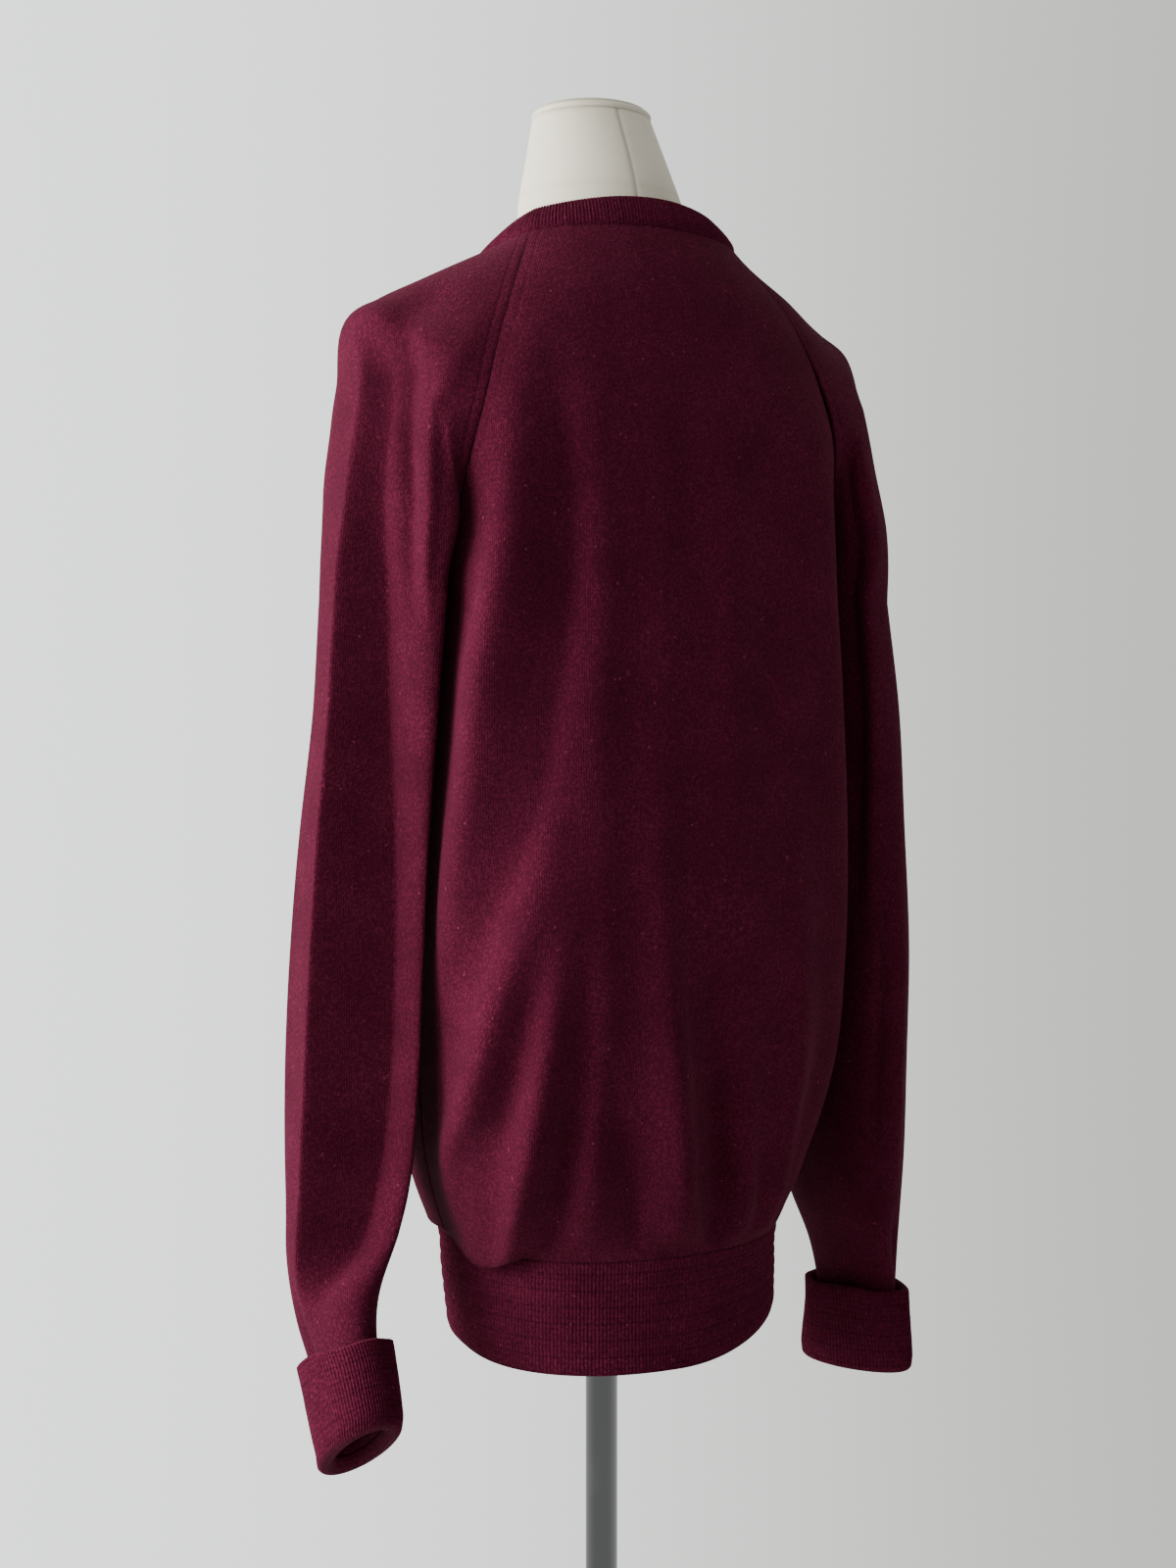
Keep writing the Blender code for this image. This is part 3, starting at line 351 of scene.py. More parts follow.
# Folds of the body, at angles from the centre back. + is the left side, and 180 the centre front.
BODY_FOLDS = (
    # the left corner of the back, from the shoulder blade down to the side
    Fold((7.0, 8.5), (
        (1.352, 46, 0), (1.322, 48.5, 0.0040), (1.264, 51, 0.0100), (1.226, 53, 0.0135),
        (1.186, 56, 0.0145), (1.145, 59, 0.0140), (1.090, 61, 0.0125), (1.024, 67, 0.0095),
        (0.984, 72, 0.0055), (0.930, 80, 0),
    )),
    # the crisp edge of its shadow
    Fold((5.0, 9.0), (
        (1.345, 46, 0), (1.314, 43, -0.0020), (1.254, 40.5, -0.0050), (1.186, 40.5, -0.0062),
        (1.118, 43, -0.0062), (1.063, 47, -0.0055), (1.024, 52.5, -0.0045), (0.984, 60, -0.0030),
        (0.940, 68, 0),
    ), 1.6),
    # the left side, bagging over the hem
    Fold((5.5, 7.5), (
        (1.070, 41, 0), (1.004, 46, 0.0050), (0.954, 53.5, 0.0090), (0.891, 63.5, 0.0090),
        (0.868, 71, 0.0070), (0.830, 76, 0),
    )),
    Fold((4, 5), (
        (0.990, 45.5, 0), (0.954, 47, -0.0030), (0.891, 54, -0.0045), (0.850, 60, 0),
    )),
    # drops on to the hem rib
    Fold((4.8, 6.0), (
        (1.050, 36, 0), (0.949, 39.5, 0.0078), (0.893, 43, 0.0118), (0.858, 47, 0.0120),
        (0.830, 52, 0.0090), (0.806, 57, 0.0050),
    )),
    Fold((4.5, 4), (
        (1.000, 33, 0), (0.949, 34, -0.0035), (0.893, 36.5, -0.0072), (0.840, 41, -0.0062),
        (0.806, 44, -0.0015),
    ), 1.7),
    # faint waves of the middle of the back
    Fold((3.6, 4.5), (
        (0.940, 28, 0), (0.886, 23.5, -0.0036), (0.843, 19, -0.0048), (0.810, 16, -0.0018),
    ), 1.6),
    Fold((5, 6), (
        (1.330, 33, 0), (1.240, 31, 0.0016), (1.090, 30, 0.0022), (0.960, 29, 0.0030),
        (0.900, 30, 0.0042), (0.850, 31, 0.0036), (0.812, 31, 0),
    )),
    Fold((5, 7), (
        (1.320, 10, 0), (1.230, 9, 0.0013), (1.100, 10, 0.0016), (0.980, 10, 0.0040),
        (0.900, 7.5, 0.0072), (0.850, 5.0, 0.0070), (0.810, 3, 0.0030),
    )),
    Fold((6, 6), (
        (1.310, -17, 0), (1.230, -16, 0.0014), (1.090, -15, 0.0016), (0.990, -15, 0),
    )),
    Fold((5, 6), (
        (1.300, -31, 0), (1.220, -31, -0.0014), (1.090, -30, -0.0016), (0.980, -30, 0),
    )),
    # the sharp step right of the middle and the hollow beyond it
    Fold((2.4, 9.0), (
        (1.010, 6, 0), (0.945, 4.8, 0.0032), (0.902, 3.2, 0.0058), (0.874, 1.8, 0.0068),
        (0.837, -0.8, 0.0068), (0.812, -6, 0.0045), (0.803, -8, 0.0015),
    ), 1.7),
    Fold((6.0, 6.0), (
        (1.000, -8, 0), (0.930, -8, -0.0050), (0.870, -11, -0.0085), (0.806, -14, -0.0040),
    )),
    Fold((3.4, 3.4), (
        (0.920, -18, 0), (0.857, -20, 0.0042), (0.825, -22, 0.0046), (0.806, -22, 0.0010),
    )),
    Fold((6, 4), (
        (1.050, -37, 0), (0.953, -36.5, 0.0042), (0.876, -34, 0.0058), (0.830, -33, 0.0055),
        (0.806, -32, 0.0020),
    )),
    Fold((5, 5), (
        (0.960, -47, 0), (0.900, -46, -0.0035), (0.850, -44, -0.0040), (0.812, -43, 0),
    )),
    # the right corner of the back
    Fold((9, 9), (
        (1.310, -48, 0), (1.230, -52, 0.0080), (1.120, -55, 0.0110), (0.950, -56, 0.0090),
        (0.850, -58, 0),
    )),
    # the front: both corners, and soft folds between them
    Fold((8, 8.5), (
        (1.310, 129, 0), (1.220, 126, 0.0055), (1.120, 124, 0.0070), (0.980, 121, 0.0060),
        (0.880, 119, 0),
    )),
    Fold((5, 6), (
        (1.080, 139, 0), (0.960, 141, 0.0050), (0.880, 144, 0.0064), (0.806, 149, 0.0030),
    )),
    Fold((4.5, 4.5), (
        (1.000, 150, 0), (0.920, 151, -0.0030), (0.850, 153, -0.0040), (0.806, 156, -0.0015),
    ), 1.7),
    Fold((5, 5), (
        (1.000, 166, 0), (0.900, 165, 0.0030), (0.850, 164, 0.0036), (0.806, 163, 0.0010),
    )),
    Fold((5, 5), (
        (0.960, 177, 0), (0.890, 178, -0.0024), (0.830, 180, -0.0030), (0.806, 181, 0),
    )),
    Fold((5, 6), (
        (1.000, -154, 0), (0.920, -156, 0.0038), (0.850, -158, 0.0048), (0.806, -161, 0.0020),
    )),
    Fold((4.5, 4.5), (
        (0.980, -147, 0), (0.900, -147, -0.0030), (0.840, -147, -0.0036), (0.806, -148, 0),
    ), 1.7),
    Fold((6, 6), (
        (1.080, -138, 0), (0.960, -137, 0.0046), (0.880, -138, 0.0058), (0.806, -141, 0.0030),
    )),
    Fold((8.5, 8), (
        (1.310, -127, 0), (1.220, -125, 0.0055), (1.120, -123, 0.0070), (0.980, -121, 0.0060),
        (0.880, -119, 0),
    )),
)
# Folds that both sleeves have, between the outside (180) and the front edge (270).
ARM_FRONT_FOLDS = (
    Fold((15, 12), (
        (1.345, 255, 0), (1.250, 251, -0.0060), (1.150, 250, -0.0062), (1.040, 253, -0.0040),
        (0.950, 255, 0),
    )),
    Fold((14, 14), (
        (1.120, 225, 0), (1.000, 222, 0.0030), (0.900, 218, 0.0030), (0.820, 214, 0),
    )),
)
# Folds of the sleeves, at angles from the underarm over the back edge (90) to the outside (180).
LEFT_ARM_FOLDS = (
    # ridges and valleys of the flap behind the arm
    Fold((10, 9), (
        (1.320, 150, 0), (1.280, 148, -0.0040), (1.245, 146, -0.0060), (1.200, 143, -0.0030),
        (1.160, 140, 0),
    )),
    Fold((8, 8), (
        (1.320, 124, 0), (1.270, 122, 0.0025), (1.230, 120, 0.0030), (1.160, 115, 0),
    )),
    Fold((9, 9), (
        (0.795, 186, 0), (0.768, 190, -0.0030), (0.745, 192, -0.0034), (0.725, 192, 0),
    )),
    *ARM_FRONT_FOLDS,
    Fold((14, 14), (
        (1.100, 60, 0), (1.000, 58, -0.0030), (0.900, 55, -0.0030), (0.820, 52, 0),
    )),
)
LEFT_PLEAT = Pleat((
    (1.345, 0.1640, 0.030, 0.00, 0.013), (1.328, 0.1630, 0.031, 0.50, 0.011),
    (1.308, 0.1625, 0.033, 0.90, 0.009), (1.285, 0.1620, 0.034, 1.00, 0.008),
    (1.260, 0.1600, 0.034, 1.00, 0.007), (1.240, 0.1575, 0.032, 1.00, 0.006),
    (1.190, 0.1510, 0.025, 1.00, 0.005), (1.120, 0.1475, 0.020, 1.00, 0.004),
    (1.050, 0.1440, 0.018, 1.00, 0.004), (0.967, 0.1445, 0.018, 1.00, 0.004),
    (0.905, 0.1470, 0.017, 1.00, 0.004), (0.845, 0.1540, 0.015, 1.00, 0.005),
    (0.800, 0.1670, 0.015, 0.90, 0.007), (0.775, 0.1790, 0.016, 0.40, 0.010),
    (0.750, 0.1900, 0.019, 0.00, 0.012),
))
RIGHT_ARM_FOLDS = (
    Fold((12, 8), (
        (1.345, 92, 0), (1.285, 88, -0.0030), (1.240, 76, -0.0050), (1.160, 66, -0.0055),
        (1.060, 58, -0.0045), (0.980, 52, 0),
    ), 1.6),
    Fold((8, 12), (
        (1.345, 112, 0), (1.289, 104, 0.0024), (1.230, 90, 0.0040), (1.150, 80, 0.0044),
        (1.060, 70, 0.0035), (0.960, 60, 0),
    ), 1.7),
    Fold((12, 16), (
        (1.330, 150, 0), (1.240, 144, -0.0040), (1.120, 140, -0.0050), (1.000, 136, -0.0030),
        (0.920, 134, 0),
    )),
    Fold((9, 9), (
        (1.040, 78, 0), (0.960, 76, -0.0026), (0.890, 72, -0.0034), (0.820, 66, 0),
    ), 1.7),
    Fold((10, 10), (
        (1.030, 100, 0), (0.950, 98, 0.0024), (0.880, 96, 0.0030), (0.800, 92, 0),
    )),
    Fold((16, 16), (
        (1.060, 150, 0), (0.900, 150, -0.0040), (0.780, 152, 0),
    )),
    Fold((9, 9), (
        (0.800, 70, 0), (0.775, 74, 0.0022), (0.755, 76, 0),
    )),
    Fold((8, 8), (
        (0.805, 100, 0), (0.778, 98, -0.0024), (0.755, 98, 0),
    )),
    *ARM_FRONT_FOLDS,
)
# Where the body hangs over the hem rib, and at the left side where it is drawn up from it.
BAGS = (
    Bag(66.0, 16.0, 0.018, 0.0060),
    Bag(104.0, 20.0, 0.007, 0.0010),
    Bag(-36.0, 15.0, 0.004, 0.002),
    Bag(136.0, 20.0, 0.016, 0.005),
    Bag(-128.0, 24.0, 0.012, 0.004),
)


@dataclass(frozen=True)
class Cut:
    """The jumper's own sizes, and the surfaces that its pieces are cut from."""

    knit: float = 0.0020  # thickness of the plain knit
    seam_gap: float = 0.0003
    hem_edge: float = 0.736  # the hem's lower edge at the middle and the left side
    hem_lift: float = 0.024  # how much higher that edge is at the right side
    hem_seam: float = 0.803
    underarm: float = 1.185
    neck_back: float = 1.398
    neck_front: float = 1.383
    neck_lift: float = 0.004  # how much higher the neck's edge is at the centre back
    v_half_width: float = 0.074
    v_row: float = 8 / 9  # where the V's point is along the raglan seam
    v_power: float = 0.92  # of the V's edge, where 1 is straight
    v_clear: float = 3.0  # least degrees between the V's edge and the raglan seam
    bag_height: float = 0.085  # how far above the hem seam the bags reach
    bag_fade: float = 0.075
    bag_drop_rise: tuple[float, float] = (0.003, 0.013)  # above the seam, where bags start to hang
    bag_out_rise: tuple[float, float] = (0, 0.006)  # and where they start to stand out
    fold_fade: float = 0.016  # how soon the body's folds rise above the hem seam
    roll_depth: float = 0.0003  # how far a sewn edge turns in
    roll_width: float = 0.0011
    narrowing_place: float = 0.0062  # distance of the line of narrowed stitches from a sewn edge
    narrowing_width: float = 0.0009
    narrowing_depth: float = 0.0003

    def section(self, table: Table, angle: Array, z: Array) -> tuple[Array, Array, Array]:
        """A point of a level section: 1 / radius^n = |sin / half_width|^n + |cos / depth|^n.

        Args:
            table: the sections, in rows of heights.
            angle: degrees from the centre back.
            z: heights.

        Returns:
            The radius, the angle in radians, and the y of the section's centre line.
        """
        turn = np.radians(angle)
        depth = np.where(np.cos(turn) > 0, table.read("back", z), table.read("front", z))
        square = table.read("square", z)
        across = np.abs(np.sin(turn)) / table.read("half_width", z)
        along = np.abs(np.cos(turn)) / depth
        radius = (across**square + along**square) ** (-1 / square)
        return radius, turn, table.read("centre_y", z)

    def bag(self, angle: Array, z: Array) -> tuple[Array, Array]:
        """How far the body hangs down and stands out just above the hem rib.

        Each bag adds its drop and reach times a bump round its angle, faded out above.

        Args:
            angle: degrees from the centre back.
            z: heights.

        Returns:
            The distances down and out.
        """
        above = z - self.hem_seam
        fade = step(0, self.bag_fade, self.bag_height - above)
        drop, out = np.zeros_like(above * angle), np.zeros_like(above * angle)
        for bag in BAGS:
            share = fade * bump((angle - bag.angle + 180) % 360 - 180, bag.spread)
            drop += bag.drop * share * step(*self.bag_drop_rise, above)
            out += bag.out * share * step(*self.bag_out_rise, above)
        return drop, out

    def body(self, angle: Array, z: Array, out: Array | float = 0.0) -> Array:
        """Points of the body's outside: its section, folds and bags.

        Args:
            angle: degrees from the centre back.
            z: heights.
            out: how much further out the points are.

        Returns:
            The points.
        """
        angle, z = np.broadcast_arrays(np.asarray(angle, float), np.asarray(z, float))
        radius, turn, centre = self.section(BODY, angle, z)
        drop, stands = self.bag(angle, z)
        free = step(0.0, self.fold_fade, z - self.hem_seam)
        radius = radius + free * sum(fold.out(angle, z) for fold in BODY_FOLDS) + stands + out
        return np.stack([radius * np.sin(turn), centre + radius * np.cos(turn), z - drop], -1)

    def body_normal(self, angle: Array, z: Array) -> Array:
        """Straight out of the body: the cross product of its slopes along height and angle.

        Args:
            angle: degrees from the centre back.
            z: heights.

        Returns:
            Unit vectors.
        """
        turn, rise = 0.5, 0.001
        across = self.body(angle + turn, z) - self.body(angle - turn, z)
        up = self.body(angle, z + rise) - self.body(angle, z - rise)
        normal = np.cross(up, across)
        return normal / np.linalg.norm(normal, axis=-1, keepdims=True)

    def seam(self, name: str, z: Array) -> Array:
        """Where a raglan seam runs, in degrees from the centre back, and 90 below the underarm."""
        angle = np.where(z < self.underarm, 90.0, RAGLAN.read(name, z))
        return angle if name == "from_back" else 180 - angle

    def gap(self, angle: Array, z: Array) -> Array:
        """Half a seam's gap, in degrees at that place of the body."""
        return np.degrees(0.5 * self.seam_gap / self.section(BODY, angle, z)[0])

    def v_point(self) -> float:
        """The height of the V's point."""
        drop = float(LEFT_SHOULDER.read("seam_drop", self.v_row))
        return self.neck_front + (self.underarm - self.neck_front) * drop

    def v_angle(self, z: Array) -> Array:
        """The V's edge in degrees from the centre front: half width times share^power across."""
        share = np.clip((z - self.v_point()) / (self.neck_front - self.v_point()), 0, 1)
        across = self.v_half_width * share**self.v_power
        square = BODY.read("square", z)
        depth = (1 - (across / BODY.read("half_width", z)) ** square) ** (1 / square)
        angle = np.degrees(np.arctan2(across, BODY.read("front", z) * depth))
        return np.minimum(angle, 180 - self.seam("from_front", z) - self.v_clear)

    def roll(self, distance: Array) -> Array:
        """How far a sewn edge turns in, and the faint line of narrowed stitches beside it."""
        beside = bump(distance - self.narrowing_place, self.narrowing_width)
        return -self.roll_depth * bump(distance, self.roll_width) - self.narrowing_depth * beside


CUT = Cut()


# ---------------------------------------------------------------- meshes
@dataclass
class Surface:
    """A grid of points with its stitch coordinates and how deep in a seam each point lies."""

    points: Array  # rows, columns, 3
    stitches: Array  # rows, columns, 2, in metres across and along the wales
    seam: Array  # rows, columns, from 0 to 1, where the finishes paint shading

    @classmethod
    def from_grid(cls, points: Array, seam: Array | float = 0.0) -> "Surface":
        """Stitch coordinates from the grid: across from its middle column, and up from row 0.

        Args:
            points: a grid of points.
            seam: how deep in a seam each point lies.

        Returns:
            The surface.
        """
        across = arc_length(points, 1)
        middle = (points.shape[1] - 1) // 2, points.shape[1] // 2
        across = across - across[:, middle].mean(1, keepdims=True)
        along = arc_length(points[:, [middle[1]]], 0)
        stitches = np.stack(np.broadcast_arrays(across, along), -1)
        return cls(points, stitches, np.broadcast_to(seam, points.shape[:2]))

    def object(
        self, name: str, material: bpy.types.Material, gap_column: int | None = None
    ) -> bpy.types.Object:
        """A mesh object of quads, with edges of the grid that meet welded together.

        Args:
            name: the object's name.
            material: its finish.
            gap_column: a column of quads that is left out, between two halves of the grid.

        Returns:
            The object, linked to the scene.
        """
        rows, columns = self.points.shape[:2]
        corner = np.arange(rows * columns).reshape(rows, columns)
        quads = np.stack([corner[:-1, :-1], corner[:-1, 1:], corner[1:, 1:], corner[1:, :-1]], -1)
        if gap_column is not None:
            quads = np.delete(quads, gap_column, axis=1)
        quads = quads.reshape(-1, 4)
        mesh = bpy.data.meshes.new(name)
        mesh.from_pydata(self.points.reshape(-1, 3), [], quads)
        layer = mesh.uv_layers.new(name="stitches")
        layer.data.foreach_set("uv", self.stitches.reshape(-1, 2)[quads.ravel()].ravel())
        attribute = mesh.attributes.new("seam", "FLOAT", "POINT")
        attribute.data.foreach_set("value", np.ascontiguousarray(self.seam, np.float32).ravel())
        weld(mesh)
        mesh.shade_smooth()
        mesh.materials.append(material)
        piece = bpy.data.objects.new(name, mesh)
        bpy.context.scene.collection.objects.link(piece)
        return piece


def weld(mesh: bpy.types.Mesh) -> None:
    """Merges points that coincide, drops faces without area and turns the faces outwards."""
    work = bmesh.new()
    work.from_mesh(mesh)
    bmesh.ops.remove_doubles(work, verts=work.verts, dist=WELDED)
    bmesh.ops.dissolve_degenerate(work, dist=NO_EDGE, edges=work.edges)
    bmesh.ops.recalc_face_normals(work, faces=work.faces)
    work.to_mesh(mesh)
    work.free()


def face_outwards(piece: bpy.types.Object, centre: tuple[float, float]) -> None:
    """Flips an open cloth's faces if most of their area looks towards an upright line.

    Args:
        piece: the cloth.
        centre: the line's x and y.
    """
    mesh = piece.data
    count = len(mesh.polygons)
    normals, middles, areas = np.empty(count * 3), np.empty(count * 3), np.empty(count)
    mesh.polygons.foreach_get("normal", normals)
    mesh.polygons.foreach_get("center", middles)
    mesh.polygons.foreach_get("area", areas)
    away = middles.reshape(-1, 3)[:, :2] - np.array(centre)
    facing = (normals.reshape(-1, 3)[:, :2] * away).sum(1) * areas
    if facing.sum() < 0:
        mesh.flip_normals()


def thicken(piece: bpy.types.Object, thickness: float) -> None:
    """Gives an open cloth its wall, on its inside."""
    wall = piece.modifiers.new("wall", "SOLIDIFY")
    wall.thickness = thickness
    wall.offset = -1.0
    wall.use_rim = True


def dense_ends(count: int, power: float) -> Array:
    """Places from -1 to 1 that crowd towards both ends: sign * (1 - (1 - |s|)^power)."""
    share = np.linspace(-1, 1, count + 1)
    return np.sign(share) * (1 - (1 - np.abs(share)) ** power)


def grid_normals(points: Array, centre: Array) -> Array:
    """Straight out of a grid, away from its middle line: the cross product of its gradients."""
    normal = np.cross(np.gradient(points, axis=0), np.gradient(points, axis=1))
    normal /= np.maximum(np.linalg.norm(normal, axis=-1, keepdims=True), 1e-12)
    return normal * np.sign((normal * (points - centre)).sum(-1).mean())


def mount(piece: bpy.types.Object, slot: str, *nodes: str) -> bpy.types.Object:
    """Lets a piece ride on the part's body and stand for CAD nodes.

    Args:
        piece: the piece.
        slot: not used.
        *nodes: the CAD nodes that it replaces.

    Returns:
        The piece.
    """
    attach(piece, ROOT)
    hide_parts(*nodes)
    log.info("%s: %d faces", piece.name, len(piece.data.polygons))
    return piece


# ---------------------------------------------------------------- the plain knit
def make_cloth(piece: bpy.types.Object, centre: tuple[float, float], node: str) -> None:
    """Makes an open surface round an upright line a cloth with a wall, in a CAD node's place."""
    face_outwards(piece, centre)
    thicken(piece, CUT.knit)
    mount(piece, "knit", node)


@dataclass(frozen=True)
class BodyPanel:
    """What the back and the front share: rows from the hem seam to the neck."""

    cloth: bpy.types.Material
    hem_rows: int = 26  # where the cloth turns over the hem rib
    side_rows: int = 88
    underarm_rows: int = 8
    yoke_rows: int = 66
    hem_turn: float = 0.018
    row_crowding: float = 1.25  # towards the neck
    column_crowding: float = 1.5  # towards the seams
    sewn_below: float = 0.2  # how strongly the edges turn in at the side seams, beside 1 above them
    sewn_rise: tuple[float, float] = (-0.01, 0.03)  # from the underarm, where that changes
    sewn_neck: float = 0.8  # how strongly they turn in at the neckband

    def heights(self, neck: float, stop: float) -> Array:
        """Rising row heights, closer over the hem, with rows at the underarm and at stop.

        Args:
            neck: the last row's height.
            stop: the height at which the even rows over the underarm end.

        Returns:
            The heights, as a column.
        """
        low = CUT.hem_seam + CUT.seam_gap
        share = np.linspace(0, 1, self.yoke_rows)
        parts = (
            np.linspace(low, low + self.hem_turn, self.hem_rows, endpoint=False),
            np.linspace(low + self.hem_turn, CUT.underarm, self.side_rows, endpoint=False),
            np.linspace(CUT.underarm, stop, self.underarm_rows, endpoint=False),
            stop + (neck - stop) * (1 - (1 - share) ** self.row_crowding),
        )
        return np.concatenate(parts)[:, None]

    def seam_share(self, distance: Array) -> Array:
        """How deep in a seam a place is, from its distance to the sewn edge."""
        return bump(distance, CUT.roll_width)

    def sewn(self, z: Array) -> Array:
        """How strongly the panel's side edges turn in: fully on the raglan seams."""
        low, high = self.sewn_rise
        above = step(CUT.underarm + low, CUT.underarm + high, z)
        return self.sewn_below + (1 - self.sewn_below) * above


@dataclass(frozen=True)
class BackPanel(BodyPanel):
    """The back, one panel between the side seams and the raglan seams."""

    columns: int = 196
    even_rise: float = 0.024  # how far above the underarm the rows stay even
    neck_fade: float = 0.08  # how soon the rows rise with the neck's edge
    neck_slope: float = 1.4  # length of the cloth for each unit of height at the neck

    def surface(self) -> Surface:
        """The back's outside: body(angle, z), with its sewn edges turned in."""
        z = self.heights(CUT.neck_back, CUT.underarm + self.even_rise)
        edge = CUT.seam("from_back", z)
        edge = edge - CUT.gap(edge, z)
        share = dense_ends(self.columns, self.column_crowding)[None, :]
        angle = edge * share
        near_neck = step(CUT.neck_back - self.neck_fade, CUT.neck_back, z)
        lift = CUT.neck_lift * near_neck * (1 - share**2)
        z = z + lift
        radius = CUT.section(BODY, angle, z)[0]
        to_side = (1 - np.abs(share)) * np.radians(edge) * radius
        to_neck = (CUT.neck_back + lift - z + 0 * angle) * self.neck_slope
        out = CUT.roll(to_side) * self.sewn(z)
        out = out - self.sewn_neck * CUT.roll_depth * bump(to_neck, CUT.roll_width)
        # how deep in a seam: the finish paints shading into the sewn edges' grooves by it
        seam = np.maximum(self.seam_share(to_side) * self.sewn(z), self.seam_share(to_neck))
        return Surface.from_grid(CUT.body(angle, z, out), seam)

    def build(self) -> bpy.types.Object:
        """The back as a thickened cloth."""
        piece = self.surface().object("back_knit", self.cloth)
        make_cloth(piece, (0.0, 0.0), "back")
        return piece


@dataclass(frozen=True)
class FrontPanel(BodyPanel):
    """The front, whose halves meet below the V and stand apart above it."""

    columns: int = 90
    v_slope: float = 0.9  # distance to the V's edge for each unit round the body

    def surface(self) -> Surface:
        """Both halves side by side: body(angle, z) from the seam to the V's edge."""
        z = self.heights(CUT.neck_front, CUT.v_point())
        seam = CUT.seam("from_front", z)
        seam = 180 - seam - CUT.gap(seam, z)
        middle = CUT.v_angle(z)
        share = dense_ends(2 * self.columns, self.column_crowding)[None, self.columns :]
        share = np.clip(0.5 * share + 0.5 * (1 - (1 - share) ** self.column_crowding), 0, 1)
        from_centre = seam + (middle - seam) * share
        radius = CUT.section(BODY, 180 - from_centre, z)[0]
        to_seam = np.radians(seam - from_centre) * radius
        to_v = np.radians(from_centre - middle) * radius * self.v_slope + (z < CUT.v_point())
        out = CUT.roll(to_seam) * self.sewn(z)
        out = out - self.sewn_neck * CUT.roll_depth * bump(to_v, CUT.roll_width)
        # how deep in a seam: the finish paints shading into the sewn edges' grooves by it
        deep = np.maximum(self.seam_share(to_seam) * self.sewn(z), self.seam_share(to_v))
        halves = [CUT.body(side * (180 - from_centre), z, out) for side in (1, -1)]
        below = z[:, 0] <= CUT.v_point() + 1e-6
        for half in halves:
            half[below, -1, 0] = 0
        points = np.concatenate([halves[0], halves[1][:, ::-1]], axis=1)
        return Surface.from_grid(points, np.concatenate([deep, deep[:, ::-1]], axis=1))

    def build(self) -> bpy.types.Object:
        """The front as a thickened cloth, open along the V."""
        piece = self.surface().object("front_knit", self.cloth, gap_column=self.columns)
        make_cloth(piece, (0.0, 0.0), "front")
        return piece


@dataclass(frozen=True)
class Rings:
    """Rings of a sleeve, one in each row: middles, half vectors, and how each ring is shaped."""

    middle: Array
    out: Array  # from the middle to the outside
    back: Array  # from the middle to the back edge
    flat: Array  # inner half thickness as a share of the outer
    short: Array  # front half as a share of the back half
    start: Array  # the angle at which the ring leaves the back seam
    wrap: Array  # how far the back edge turns in
    square: Array  # the sections' exponent: 2 is an ellipse

    def followed_by(self, other: "Rings") -> "Rings":
        """These rings with the other ones below them."""
        pairs = zip(vars(self).values(), vars(other).values())
        return Rings(*(np.concatenate(pair) for pair in pairs))

    @staticmethod
    def rounded(angle: Array, square: Array) -> tuple[Array, Array]:
        """A section's unit point: cosine and sine, each to the power 2 / square.

        Args:
            angle: radians.
            square: the section's exponent.

        Returns:
            The places across and along.
        """
        cosine, sine = np.cos(angle), np.sin(angle)
        power = 2 / square
        return (
            np.sign(cosine) * np.abs(cosine) ** power,
            np.sign(sine) * np.abs(sine) ** power,
        )

    def points(self, angle: Array, pleat: Pleat | None) -> Array:
        """Points at angles round each ring: middle - out * cosine + back * sine.

        The rings run from the underarm over the back edge to the outside and the front edge. An
        open ring's pleat and wrap fade out towards the seams.

        Args:
            angle: angles in radians, a row for each ring.
            pleat: the deep fold behind the arm, if there is one.

        Returns:
            The points, a row for each ring.
        """
        square = self.square[:, None]
        inward, along = self.rounded(angle, square)
        start = self.start[:, None]
        turned = np.clip((angle - start) / (2 * math.pi - 2 * start), 0, 1)
        fade = 0.02 + 0.20 * np.sin(start)
        free = step(0.0, 1.0, np.minimum(turned, 1 - turned) / fade)
        flat = self.flat[:, None]
        across = np.where(inward > 0, inward * flat, inward)
        deep = np.linalg.norm(self.back, axis=-1)[:, None]
        thick = np.linalg.norm(self.out, axis=-1)[:, None]
        if pleat:
            inside = flat * thick * np.clip(self.rounded(start, square)[0], 0.05, 1)
            middle = self.middle[:, None]
            level = (self.middle + self.out)[:, None, 2]
            flap, share = pleat.folded(-across * thick, along * deep, inside, deep, middle, level)
            share = share * free
            across = across * (1 - share) - flap / thick * share
        along = np.where(along < 0, along * self.short[:, None], along)
        points = self.middle[:, None] - self.out[:, None] * across[..., None]
        points = points + self.back[:, None] * along[..., None]
        points[..., 0] -= self.wrap[:, None] * free * along
        return points


